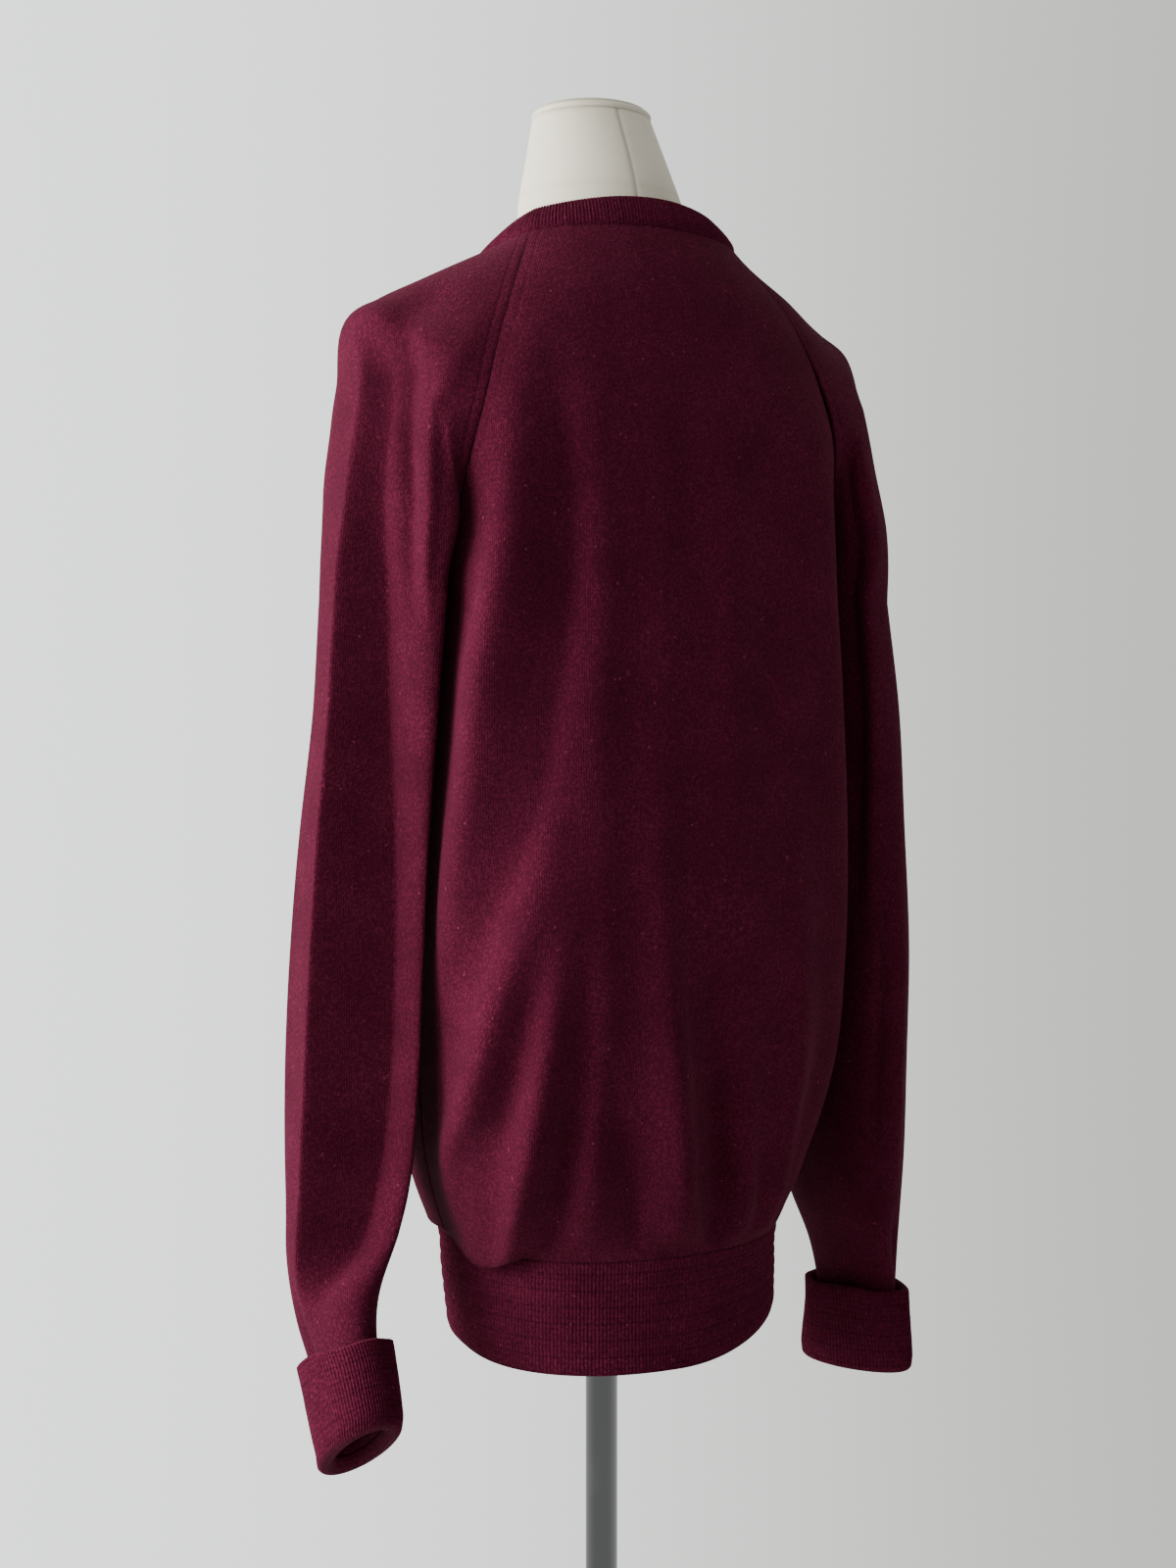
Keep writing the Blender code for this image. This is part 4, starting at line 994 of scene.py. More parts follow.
@dataclass(frozen=True)
class Sleeve:
    """A raglan sleeve: open rings over the shoulder, then closed rings down to the wrist."""

    side: Side
    arm: Table
    shoulder: Table
    folds: tuple[Fold, ...]
    pleat: Pleat | None
    cloth: bpy.types.Material
    columns: int = 200
    yoke_rows: int = 74
    arm_rows: int = 120
    crowding: float = 1.25  # of the columns, towards the underarm
    lap: float = 0.0006  # how far the edge stands out of the body at the underarm
    lap_fade: float = 0.06
    meeting_rise: float = 0.004  # above the underarm, where the edge has met the panel's edge
    turning: float = 0.86  # where the rings start to turn into the arm's first ring
    wrap_fade: float = 0.30
    fold_fade: float = 0.10  # how soon the folds rise beside the seams, as a share of the round
    sewn_below: float = 0.35  # how strongly the edges turn in at the underarm, beside 1 above it
    sewn_rise: float = 0.05
    sewn_neck: float = 0.8
    inner_line: tuple[float, float] = (0.155, 0.012)  # x and y of an upright line inside the sleeve

    def seam_points(self, name: str, z: Array) -> Array:
        """The sleeve's edge along a raglan seam, where the panel's edge is.

        Args:
            name: the seam, from_back or from_front.
            z: heights.

        Returns:
            Points on the body, standing out a little towards the underarm.
        """
        angle = CUT.seam(name, z)
        sign = 1 if name == "from_back" else -1
        lift = self.lap * step(CUT.underarm + self.lap_fade, CUT.underarm, z)
        met = step(CUT.underarm, CUT.underarm + self.meeting_rise, z)
        return CUT.body(angle - sign * CUT.gap(angle, z) * met, z, lift)

    def yoke_rings(self, along: Array) -> Rings:
        """Rings from the neck to the underarm, through both seams and the shoulder line.

        Args:
            along: places from 0 at the neckband to 1 at the underarm.

        Returns:
            The rings, each open towards the body between its seams.
        """
        drop = self.shoulder.read("seam_drop", along)
        seam_z = CUT.neck_back + (CUT.underarm - CUT.neck_back) * drop
        front_z = CUT.neck_front + (CUT.underarm - CUT.neck_front) * drop
        back = self.seam_points("from_back", seam_z)
        front = self.seam_points("from_front", front_z)
        top = np.stack([self.shoulder.read(axis, along) for axis in "xyz"], -1)
        square = self.shoulder.read("square", along)
        inside, outside, arm_back, arm_front = (
            float(self.arm.read(name, CUT.underarm)) for name in ARM_NAMES[3:7]
        )
        flat = 1 + (inside / outside - 1) * along**2
        short = 1 + (arm_front / arm_back - 1) * along**2
        start = np.radians(self.shoulder.read("start", along)).clip(0)
        edge, reach = Rings.rounded(start, square)
        reach = np.maximum(reach, 1e-6)
        deep = (back - front) / ((1 + short) * reach)[:, None]
        foot = back - deep * reach[:, None]
        out = (top - foot) / (1 + np.where(edge > 0, flat, 1) * edge)[:, None]
        # near the underarm the rings turn softly into the arm's first ring
        turn = math.radians(float(self.arm.read("turn", CUT.underarm)))
        share = step(self.turning, 1.0, along)[:, None]
        arm_out = np.array([math.cos(turn), math.sin(turn), 0]) * outside
        arm_deep = np.array([-math.sin(turn), math.cos(turn), 0]) * arm_back
        out = out * (1 - share) + arm_out * share
        deep = deep * (1 - share) + arm_deep * share
        level = [self.arm.read(axis, CUT.underarm) + 0 * seam_z for axis in "xy"]
        arm_middle = np.stack([*level, seam_z], -1)
        middle = (top - out) * (1 - share) + arm_middle * share
        wrap = self.shoulder.read("wrap", along) * step(0.0, self.wrap_fade, 1 - along)
        return Rings(middle, out, deep, flat, short, start, wrap, square)

    def arm_rings(self) -> Rings:
        """Closed rings from under the underarm to the wrist."""
        z = np.linspace(CUT.underarm, self.arm.end("z"), self.arm_rows + 1)[1:]
        turn = np.radians(self.arm.read("turn", z))
        zero = np.zeros_like(z)
        middle = np.stack([self.arm.read("x", z), self.arm.read("y", z), z], -1)
        thick = self.arm.read("outside", z)[:, None]
        deep = self.arm.read("back", z)[:, None]
        flat = self.arm.read("inside", z) / self.arm.read("outside", z)
        short = self.arm.read("front", z) / self.arm.read("back", z)
        out = np.stack([np.cos(turn), np.sin(turn), zero], -1) * thick
        back = np.stack([-np.sin(turn), np.cos(turn), self.arm.read("rise", z)], -1) * deep
        return Rings(middle, out, back, flat, short, zero, zero, self.arm.read("square", z))

    def shares(self) -> Array:
        """How far round a ring each column is, from 0 to 1, closer towards both ends."""
        return 0.5 + 0.5 * dense_ends(self.columns, self.crowding)

    def ring_points(self, rings: Rings) -> tuple[Array, Array]:
        """Points spaced by their distance round each ring.

        Args:
            rings: the rings, one a row.

        Returns:
            The points, and their angles in degrees.
        """
        fine = np.linspace(0, 1, 8 * self.columns + 1)[None, :]
        start = rings.start[:, None]
        angle = start + (2 * math.pi - 2 * start) * fine
        length = arc_length(rings.points(angle, self.pleat), 1)
        share = self.shares()
        even = np.stack(
            [np.interp(share * own[-1], own, turns) for own, turns in zip(length, angle)]
        )
        return rings.points(even, self.pleat), np.degrees(even)

    def surface(self) -> Surface:
        """The rings with their folds moved out along the grid's normals, and sewn edges in."""
        rings = self.yoke_rings(np.linspace(0, 1, self.yoke_rows + 1))
        rings = rings.followed_by(self.arm_rings())
        points, angle = self.ring_points(rings)
        normal = grid_normals(points, rings.middle[:, None])
        share = self.shares()[None, :]
        free = step(0.0, self.fold_fade, np.minimum(share, 1 - share))
        z = np.broadcast_to(rings.middle[:, None, 2], angle.shape)
        out = sum(fold.out(angle, z) for fold in self.folds) * free
        across = arc_length(points, 1)
        to_seam = np.minimum(across, across[:, -1:] - across)
        above = step(CUT.underarm, CUT.underarm + self.sewn_rise, z[:, :1])
        sewn = self.sewn_below + (1 - self.sewn_below) * above
        to_neck = arc_length(points, 0)
        beside_neck = bump(to_neck, CUT.roll_width)
        roll = CUT.roll(to_seam) * sewn - self.sewn_neck * CUT.roll_depth * beside_neck
        points = points + (out + roll)[..., None] * normal
        # the arm's rings close at the underarm seam
        arm = slice(self.yoke_rows + 1, None)
        points[arm, 0] = points[arm, -1] = (points[arm, 0] + points[arm, -1]) / 2
        # how deep in a seam: the finish paints shading into the sewn edges' grooves by it
        deep = np.maximum(bump(to_seam, CUT.roll_width) * sewn, beside_neck)
        return Surface.from_grid(points * (self.side.value, 1, 1), deep)

    def build(self) -> bpy.types.Object:
        """The sleeve as a thickened cloth."""
        name = f"sleeve_{self.side.name.lower()}"
        piece = self.surface().object(f"{name}_knit", self.cloth)
        x, y = self.inner_line
        make_cloth(piece, (self.side.value * x, y), name)
        return piece


# ---------------------------------------------------------------- the ribbed pieces
@dataclass(frozen=True)
class Ribbed:
    """What the ribbed pieces share: raised ribs, height * (0.5 - 0.5 cos(turns))^roundness."""

    cloth: bpy.types.Material
    count: int = 96  # whole ribs
    rib_height: float = 0.0009
    roundness: float = 0.8
    columns_per_rib: int = 4
    seam_width: float = 0.0016

    def ribs(self) -> Array:
        """How far each column stands out over all the ribs."""
        turns = np.arange(self.count * self.columns_per_rib + 1) / self.columns_per_rib
        return self.rib_height * (0.5 - 0.5 * np.cos(2 * math.pi * turns)) ** self.roundness


@dataclass(frozen=True)
class HemRib(Ribbed):
    """The welt at the bottom of the body, one ring with a seam at each side."""

    count: int = 288
    rib_height: float = 0.0007
    wall: float = 0.0022
    bevel: float = 0.0004  # of the top edge
    outer_rows: int = 30
    inner_rows: int = 10
    bottom_rows: int = 4
    bands: int = 7  # level rows of the rib, parted by grooves
    groove: float = 0.0007
    side_seam: tuple[float, float] = (0.0004, 0.7)  # its depth, and half its width in degrees
    # how far the lower edge is drawn in at the left side, at which angle, and its spread
    drawn_in: tuple[float, float, float] = (0.008, 98, 34)
    seam_shade: float = 0.3
    first_rib: float = 0.03  # the share of the height at which the ribs stand out in full

    def profile(self) -> tuple[Array, Array, Array, Array]:
        """A closed section: up the outside, over, down the inside and round the lower edge.

        Returns:
            Shares of the height, distances out, distances under the edge, and the ribs' share.
        """
        edge = self.wall / 2
        turn = np.linspace(0, math.pi, self.bottom_rows + 2)[1:-1]
        outer = np.linspace(0, 0.985, self.outer_rows)
        inner = np.linspace(0.97, 0, self.inner_rows)
        share = np.concatenate([outer, [1.0, 1.0], inner, np.zeros(self.bottom_rows)])
        out = np.concatenate(
            [0 * outer, [-self.bevel, -self.wall + self.bevel], 0 * inner - self.wall,
             -edge - edge * np.cos(turn)]
        )
        under = np.concatenate([0 * outer, [0, 0], 0 * inner, -edge * np.sin(turn)])
        inside = np.zeros(len(share) - len(outer))
        raised = np.concatenate([step(-self.first_rib, self.first_rib, outer), inside])
        columns = (share, out, under, raised)
        return tuple(np.append(values, values[0])[:, None] for values in columns)

    def surface(self) -> Surface:
        """The profile carried round the body, with grooves between its level rows."""
        ribs = self.ribs()[None, :]
        angle = np.linspace(-180, 180, ribs.shape[1])[None, :]
        share, out, under, raised = self.profile()
        edge = self.wall / 2
        bottom = CUT.hem_edge + CUT.hem_lift * np.minimum(np.sin(np.radians(angle)), 0) ** 2
        z = bottom + edge + (CUT.hem_seam - bottom - edge) * share + under
        wave = 0.5 + 0.5 * np.cos(2 * math.pi * share * self.bands)
        rows = -self.groove * wave**2 * (out == 0)
        depth, width = self.side_seam
        side = -depth * sum(bump(angle - place, width) for place in (-90, 90)) * (out == 0)
        reach, place, spread = self.drawn_in
        drawn = -reach * bump(angle - place, spread) * (1 - share) ** 1.5
        points = CUT.body(angle, z, out + ribs * raised + rows + side + drawn)
        # painted shading along the rib's top, at its seam to the body
        deep = self.seam_shade * bump((CUT.hem_seam - z) * 1.2, self.seam_width) + 0 * angle
        return Surface.from_grid(points, deep)

    def build(self) -> bpy.types.Object:
        """The hem rib as one closed ring."""
        piece = self.surface().object("hem_rib", self.cloth)
        mount(piece, "rib", "hem_rib_back", "hem_rib_front")
        return piece


@dataclass(frozen=True)
class Cuff(Ribbed):
    """A cuff, turned back up the outside of the sleeve from a fold at the wrist."""

    side: Side = Side.LEFT
    arm: Table = LEFT_ARM
    profile_points: int = 54
    fold_drop: float = 0.0065  # from the sleeve's end down to the fold
    depth: float = 0.0505  # from the fold up to the cuff's edge
    knot_space: float = 0.0006  # added between knots, so that close ones get points as well
    flare: float = 0.03  # how much wider the cuff is at the fold
    edge_wave: tuple[float, float] = (0.0010, 0.0006)  # the edge's two waves and its five
    side_wave: float = 0.0006

    def profile(self) -> tuple[Array, Array, Array]:
        """The turned cloth's closed section, evenly spaced along the chords between its knots.

        Returns:
            Heights over the fold, distances out of the sleeve, and shares of the ribs' height.
        """
        knots = np.array(
            (
                (0.0062, -CUT.knit, 0), (0.0000, -CUT.knit, 0), (-0.0024, -0.0006, 0.3),
                (-0.0032, 0.0020, 0.8), (-0.0026, 0.0048, 1), (-0.0004, 0.0068, 1),
                (0.0060, 0.0075, 1), (0.0180, 0.0082, 1), (0.0300, 0.0086, 1),
                (0.0420, 0.0084, 1), (self.depth - 0.0016, 0.0080, 1),
                (self.depth - 0.0002, 0.0071, 0.4), (self.depth - 0.0004, 0.0058, 0.2),
                (self.depth - 0.0030, 0.0050, 0), (0.0300, 0.0052, 0), (0.0100, 0.0045, 0),
                (0.0042, 0.0036, 0), (0.0030, 0.0018, 0), (0.0036, 0.0004, 0), (0.0062, 0, 0),
                (0.0062, -CUT.knit, 0),
            )
        )
        steps = np.hypot(*np.diff(knots[:, :2], axis=0).T) + self.knot_space
        places = np.concatenate([[0], np.cumsum(steps)])
        at = np.linspace(0, places[-1], self.profile_points + 1)
        height, out, share = (np.interp(at, places, column) for column in knots.T)
        return height[:, None], out[:, None], share[:, None]

    def surface(self) -> Surface:
        """The profile carried round the wrist's oval, tilted by the arm's rise."""
        height, out_by, share = self.profile()
        ribs = self.ribs()[None, :] * share
        angle = np.linspace(0, 2 * math.pi, ribs.shape[1])[None, :]
        wrist = self.arm.end("z")
        up = step(0, self.depth, height)
        slow, quick = self.edge_wave
        wave = up * (slow * np.sin(2 * angle + 0.6) + quick * np.sin(5 * angle))
        z = wrist - self.fold_drop + height
        at = np.maximum(z, wrist)
        flare = 1 + self.flare * (1 - up) * (share > 0)
        out_by = out_by + up * self.side_wave * np.sin(3 * angle + 1.0) * (share > 0.1)
        inner, outer = self.arm.read("inside", at), self.arm.read("outside", at)
        thick = np.where(np.cos(angle) > 0, inner, outer)
        across = -np.cos(angle) * (thick * flare + out_by + ribs)
        deep = np.where(np.sin(angle) > 0, self.arm.read("back", at), self.arm.read("front", at))
        along = np.sin(angle) * (deep * flare + out_by + ribs)
        turn = np.radians(self.arm.read("turn", at))
        x = self.arm.read("x", at) + across * np.cos(turn) - along * np.sin(turn)
        y = self.arm.read("y", at) + across * np.sin(turn) + along * np.cos(turn)
        height = z + along * self.arm.read("rise", at) + wave
        points = np.stack([self.side.value * x, y, height], -1)
        return Surface.from_grid(points, 0.0)

    def build(self) -> bpy.types.Object:
        """The turned-back cuff as one closed ring."""
        name = f"cuff_{self.side.name.lower()}"
        piece = self.surface().object(f"{name}_rib", self.cloth)
        mount(piece, "rib", name)
        return piece


@dataclass(frozen=True)
class Neckband(Ribbed):
    """The doubled rib round the neck, rolled to a soft tube and mitred at the V's point."""

    count: int = 178  # ribs in half the band
    rib_height: float = 0.0008
    width: float = 0.020
    thickness: float = 0.0044
    lap: float = 0.0008  # how far the band lies over the edge it is sewn to
    bulge: float = 0.0008  # of its outside
    corner: float = 0.0006  # the size of the rounded corner at the sewn edge
    mitre_reach: float = 0.120
    smoothing: float = 0.022
    corner_softness: float = 0.7  # of the corners at the raglan seams
    unsoftened: float = 0.03  # the length at the V's point where the corners stay
    sewn_edge: tuple[float, float] = (0.0012, 0.0016)  # how far its corners are cut back
    back_points: int = 200
    front_points: int = 400

    def edge(self) -> Array:
        """Half of the neck's edge, from the centre back over the shoulder to the V's point."""
        share = np.linspace(0, 1, self.back_points)
        seam = float(CUT.seam("from_back", np.array(CUT.neck_back)))
        back = CUT.body(seam * share, CUT.neck_back + CUT.neck_lift * (1 - share**2))
        sleeve = Sleeve(Side.LEFT, LEFT_ARM, LEFT_SHOULDER, LEFT_ARM_FOLDS, LEFT_PLEAT, self.cloth)
        shoulder = sleeve.ring_points(sleeve.yoke_rings(np.array([0.0])))[0][0]
        z = np.linspace(CUT.neck_front, CUT.v_point(), self.front_points)
        front = CUT.body(180 - CUT.v_angle(z), z)
        path = np.concatenate([back, shoulder[1:-1], front])
        path[0, 0] = path[-1, 0] = 0
        length = arc_length(path, 0)
        places = np.linspace(0, length[-1], self.count * self.columns_per_rib + 1)
        return np.stack([np.interp(places, length, path[:, axis]) for axis in range(3)], -1)

    def blurred(self, values: Array, spacing: float) -> Array:
        """Vectors along the half band, smoothed as on the whole band, whose other half mirrors.

        Args:
            values: the vectors.
            spacing: the distance between two of them.

        Returns:
            The smoothed vectors.
        """
        reach = int(3 * self.smoothing / spacing)
        kernel = bump(np.arange(-reach, reach + 1) * spacing, self.smoothing * math.sqrt(2))
        mirror = np.array((-1, 1, 1))
        padded = np.concatenate(
            [values[reach:0:-1] * mirror, values, values[-2 : -reach - 2 : -1] * mirror]
        )
        return np.stack(
            [np.convolve(padded[:, i], kernel / kernel.sum(), "valid") for i in range(3)], -1
        )

    def surface(self) -> Surface:
        """A rounded section carried along the neck's edge and closed round the neck."""
        edge = self.edge()
        spacing = float(np.linalg.norm(edge[1] - edge[0]))
        run = np.gradient(np.concatenate([edge[1:2] * (-1, 1, 1), edge]), axis=0)[1:]
        run /= np.linalg.norm(run, axis=1, keepdims=True)
        run = self.blurred_run(run, spacing)
        angle = np.degrees(np.arctan2(edge[:, 0], edge[:, 1] - BODY.read("centre_y", edge[:, 2])))
        out = self.blurred(CUT.body_normal(angle, edge[:, 2]), spacing)
        out -= run * (out * run).sum(-1, keepdims=True)
        out /= np.linalg.norm(out, axis=1, keepdims=True)
        length = arc_length(edge, 0)
        mitre = np.clip(1 - (length[-1] - length) / self.mitre_reach, 0, 1)
        mitre *= math.sqrt(1 - run[-2, 0] ** 2) / abs(run[-2, 0])
        into = np.cross(run, out)
        into *= np.sign(into[0, 2])
        into[-1] = (0, 0, 1)
        into = into - run * mitre[:, None]
        into[-1] = np.array([0, 0, 1]) * np.linalg.norm(into[-2])
        across, rise, raised = self.section()
        rib = self.ribs()[:, None, None]
        rise = rise[None, :, None] + raised[None, :, None] * rib
        left = edge[:, None] + across[None, :, None] * into[:, None] + rise * out[:, None]
        left[0, :, 0] = left[-1, :, 0] = 0
        ring = np.concatenate([left, (left * (-1, 1, 1))[-2::-1]])
        # painted shadow along the band's sewn edge, under its roll
        deep = bump(across, self.seam_width)[None, :]
        return Surface.from_grid(ring, deep)

    def blurred_run(self, run: Array, spacing: float) -> Array:
        """The direction along the edge, with the corners at the raglan seams softened a little.

        Args:
            run: unit vectors along the edge.
            spacing: the distance between two of them.

        Returns:
            The softened unit vectors.
        """
        soft = self.blurred(run * (-1, 1, 1), spacing) * (-1, 1, 1)
        share = self.corner_softness * np.ones((len(run), 1))
        share[-int(self.unsoftened / spacing) :] = 0
        mixed = run * (1 - share) + soft * share
        return mixed / np.linalg.norm(mixed, axis=1, keepdims=True)

    def section(self) -> tuple[Array, Array, Array]:
        """The band's closed section, a flat tube whose outside bulges by a sine.

        It ends in a half circle at the opening and in a cut edge on the cloth.

        Returns:
            Distances into the opening and out of the cloth, and shares of the ribs' height.
        """
        half = self.thickness / 2
        low, high = -self.lap, self.width
        rise = np.linspace(0, 1, 13)
        turn = np.linspace(0, math.pi, 7)[1:-1]
        outer = half + self.bulge * np.sin(math.pi * rise) - self.corner * (1 - rise) ** 4
        across = np.concatenate(
            [low + self.corner + (high - half - low) * rise, high - half + half * np.sin(turn),
             np.linspace(high - half, low + self.corner, 8), [low, low, low]]
        )
        inner_cut, outer_cut = self.sewn_edge
        sewn = [-half + inner_cut, 0, half - outer_cut]
        out = np.concatenate([outer, half * np.cos(turn), np.full(8, -half), sewn])
        raised = np.concatenate([step(0, 0.12, rise), 0.5 + 0.5 * np.cos(turn), np.zeros(11)])
        across, out, raised = (np.append(part, part[0]) for part in (across, out, raised))
        return across, out - CUT.knit / 2, raised

    def build(self) -> bpy.types.Object:
        """The neckband as one closed ring."""
        piece = self.surface().object("neckband_rib", self.cloth)
        mount(piece, "rib", "neckband")
        return piece


# ---------------------------------------------------------------- the dress form and its stand
@dataclass(frozen=True)
class DressForm:
    """The canvas-covered torso and neck, and the cap that closes the neck."""

    canvas: bpy.types.Material
    columns: int = 192
    rows: int = 170
    neck_top: float = 1.481
    cap_height: float = 0.009
    under_cloth: float = 0.0012  # the torso is this much slimmer under the jumper
    covered: tuple[float, float] = (1.402, 1.396)  # between these heights the slimming starts
    neck_seam: float = 1.432  # height of the seam round the neck
    seam_depth: float = 0.0006
    seam_width: float = 0.0011
    cap_rows: int = 26
    insets: tuple[float, ...] = (0.0, 0.6, 0.97)  # rings of the flat ends, as shares of the edge
    piping: tuple[float, float, float] = (0.0005, 0.0022, 0.0010)  # height, place and width
    stitching: tuple[float, float, float] = (0.0004, 0.0048, 0.0007)  # depth, place and width

    def torso(self) -> bpy.types.Object:
        """Level sections from the flat underside to the neck's top, with sunken seams."""
        low, high = FORM.end("z"), self.neck_top
        z = np.linspace(low, high, self.rows)[:, None]
        angle = np.linspace(0, 360, self.columns + 1)[None, :]
        radius, turn, centre = CUT.section(FORM, angle, z)
        slim = self.under_cloth * step(*self.covered, z)
        around = radius * np.radians((angle + 90) % 180 - 90)
        level = z - self.neck_seam + 0 * angle
        seams = np.clip(bump(around, self.seam_width) + bump(level, self.seam_width), 0, 1)
        radius = radius - slim - self.seam_depth * seams
        points = np.stack([radius * np.sin(turn), centre + radius * np.cos(turn), z + 0 * turn], -1)
        inset = np.array(self.insets)[:, None, None]
        middle = np.stack([0 * centre, centre, z], -1)
        bottom = middle[0] + (points[:1] - middle[0]) * inset
        top = middle[-1] + (points[-1:] - middle[-1]) * inset[::-1]
        grid = np.concatenate([bottom, points, top])
        # where the finish paints shading into the sunken seams
        deep = np.pad(seams, ((len(inset), len(inset)), (0, 0)))
        piece = Surface.from_grid(grid, deep).object("form_torso_canvas", self.canvas)
        return mount(piece, "canvas", "form_torso")

    def cap(self) -> bpy.types.Object:
        """A low dome: height * (1 - r^3)^(1/3) over the neck's top, sewn along its edge."""
        r = np.concatenate([[0.0, 0.97], np.sin(np.linspace(math.pi / 2, 0, self.cap_rows))])[:, None]
        angle = np.linspace(0, 360, self.columns + 1)[None, :]
        radius, turn, centre = CUT.section(FORM, angle, np.full((1, 1), self.neck_top))
        dome = self.cap_height * (1 - r**3) ** (1 / 3)
        dome[:2] = 0
        height, place, width = self.piping
        depth, line, line_width = self.stitching
        sewn = bump(dome - line, line_width)
        relief = height * bump(dome - place, width) - depth * sewn
        relief[:2] = 0
        size = radius * r + relief - 0.0004 * (dome < 0.0004)
        z = self.neck_top + CUT.seam_gap + dome + 0 * angle
        points = np.stack([size * np.sin(turn), centre + size * np.cos(turn), z], -1)
        # where the finish paints shading into the sunken stitching
        deep = sewn + 0 * angle
        piece = Surface.from_grid(points, deep).object("form_cap_canvas", self.canvas)
        return mount(piece, "canvas", "form_neck_cap")

    def build(self) -> None:
        """Both pieces of the form."""
        self.torso()
        self.cap()


@dataclass(frozen=True)
class Stand:
    """The chromed pole with its foot collar and top plate, and the round base."""

    chrome: bpy.types.Material
    columns: int = 96
    pole_radius: float = 0.010
    base_radius: float = 0.180
    base_thickness: float = 0.008
    plate_radius: float = 0.030
    plate_height: float = 0.004
    collar_radius: float = 0.019
    collar_height: float = 0.030
    edge: float = 0.0012
    edge_points: int = 5
    sharp: float = 50.0  # degrees past which an edge stays crisp

    def rounded(self, corners: Knots) -> Array:
        """An outline whose corners are each a curve, (1-t)^2 start + 2t(1-t) corner + t^2 end.

        Args:
            corners: radii and heights, the first and the last on the axis.

        Returns:
            The outline's radii and heights.
        """
        corner = np.array(corners)
        before = np.roll(corner, 1, axis=0) - corner
        after = np.roll(corner, -1, axis=0) - corner
        before /= np.maximum(np.linalg.norm(before, axis=1, keepdims=True), 1e-9)
        after /= np.maximum(np.linalg.norm(after, axis=1, keepdims=True), 1e-9)
        count = self.edge_points
        t = np.linspace(0, 1, count)[None, :, None]
        start, end = corner + before * self.edge, corner + after * self.edge
        curve = start[:, None] * (1 - t) ** 2 + corner[:, None] * 2 * t * (1 - t)
        curve = (curve + end[:, None] * t**2).reshape(-1, 2)
        curve[:count], curve[-count:] = corner[0], corner[-1]
        return curve

    def turned(self, name: str, node: str, corners: Knots) -> bpy.types.Object:
        """The rounded outline turned round the pole's axis.

        Args:
            name: the piece's name.
            node: the CAD node that it replaces.
            corners: radii and heights, the first and the last on the axis.

        Returns:
            The piece.
        """
        outline = self.rounded(corners)[:, None, :]
        turn = np.linspace(0, 2 * math.pi, self.columns + 1)[None, :]
        radius, z = outline[..., 0], outline[..., 1]
        points = np.stack([radius * np.cos(turn), radius * np.sin(turn), z + 0 * turn], -1)
        piece = Surface.from_grid(points).object(name, self.chrome)
        piece.data.set_sharp_from_angle(angle=math.radians(self.sharp))
        return mount(piece, "chrome", node)

    def build(self) -> None:
        """The pole and the base."""
        low = self.base_thickness + CUT.seam_gap
        top = FORM.end("z") - CUT.seam_gap
        collar_top = low + self.collar_height
        plate_low = top - self.plate_height
        self.turned("pole_chrome", "stand_pole", (
            (0, low), (self.collar_radius, low), (self.collar_radius, collar_top),
            (self.pole_radius, collar_top), (self.pole_radius, plate_low),
            (self.plate_radius, plate_low), (self.plate_radius, top), (0, top),
        ))
        self.turned("base_chrome", "stand_base", (
            (0, 0), (self.base_radius, 0), (self.base_radius, self.base_thickness),
            (0, self.base_thickness),
        ))


# ---------------------------------------------------------------- shader helpers
Socket = bpy.types.NodeSocket
Colour = tuple[float, float, float]


def add(tree: bpy.types.NodeTree, kind: str, inputs: dict | None = None, **settings: Any) -> Any:
    """Adds a node, sets its settings, and links or fills the inputs that are named.

    Args:
        tree: the node tree.
        kind: the node's type.
        inputs: values or sockets by input name or number.
        **settings: the node's own properties.

    Returns:
        The node.
    """
    node = tree.nodes.new(kind)
    for key, value in settings.items():
        setattr(node, key, value)
    for key, value in (inputs or {}).items():
        if isinstance(value, bpy.types.NodeSocket):
            tree.links.new(value, node.inputs[key])
        else:
            node.inputs[key].default_value = value
    return node


def maths(tree: bpy.types.NodeTree, operation: str, *values: Socket | float) -> Socket:
    """One step of arithmetic on values or sockets."""
    return add(tree, "ShaderNodeMath", dict(enumerate(values)), operation=operation).outputs[0]


def ramp(tree: bpy.types.NodeTree, value: Socket, low: float, high: float) -> Socket:
    """0 below low, 1 above high, and 3t^2 - 2t^3 between them, as a node."""
    node = add(
        tree,
        "ShaderNodeMapRange",
        {"Value": value, "From Min": low, "From Max": high},
        interpolation_type="SMOOTHSTEP",
    )
    return node.outputs[0]


def mixed(
    tree: bpy.types.NodeTree, share: Socket | float, first: Socket | Colour, second: Socket | Colour
) -> Socket:
    """A colour between first and second."""
    values = [v if isinstance(v, bpy.types.NodeSocket) else (*v, 1.0) for v in (first, second)]
    node = add(
        tree, "ShaderNodeMix", {0: share, 6: values[0], 7: values[1]}, data_type="RGBA"
    )
    return node.outputs[2]


def noise(tree: bpy.types.NodeTree, vector: Socket, scale: float, detail: float = 2.0) -> Socket:
    """Smooth noise of 1 / scale metres."""
    inputs = {"Vector": vector, "Scale": scale, "Detail": detail, "Roughness": 0.55}
    return add(tree, "ShaderNodeTexNoise", inputs).outputs["Fac"]


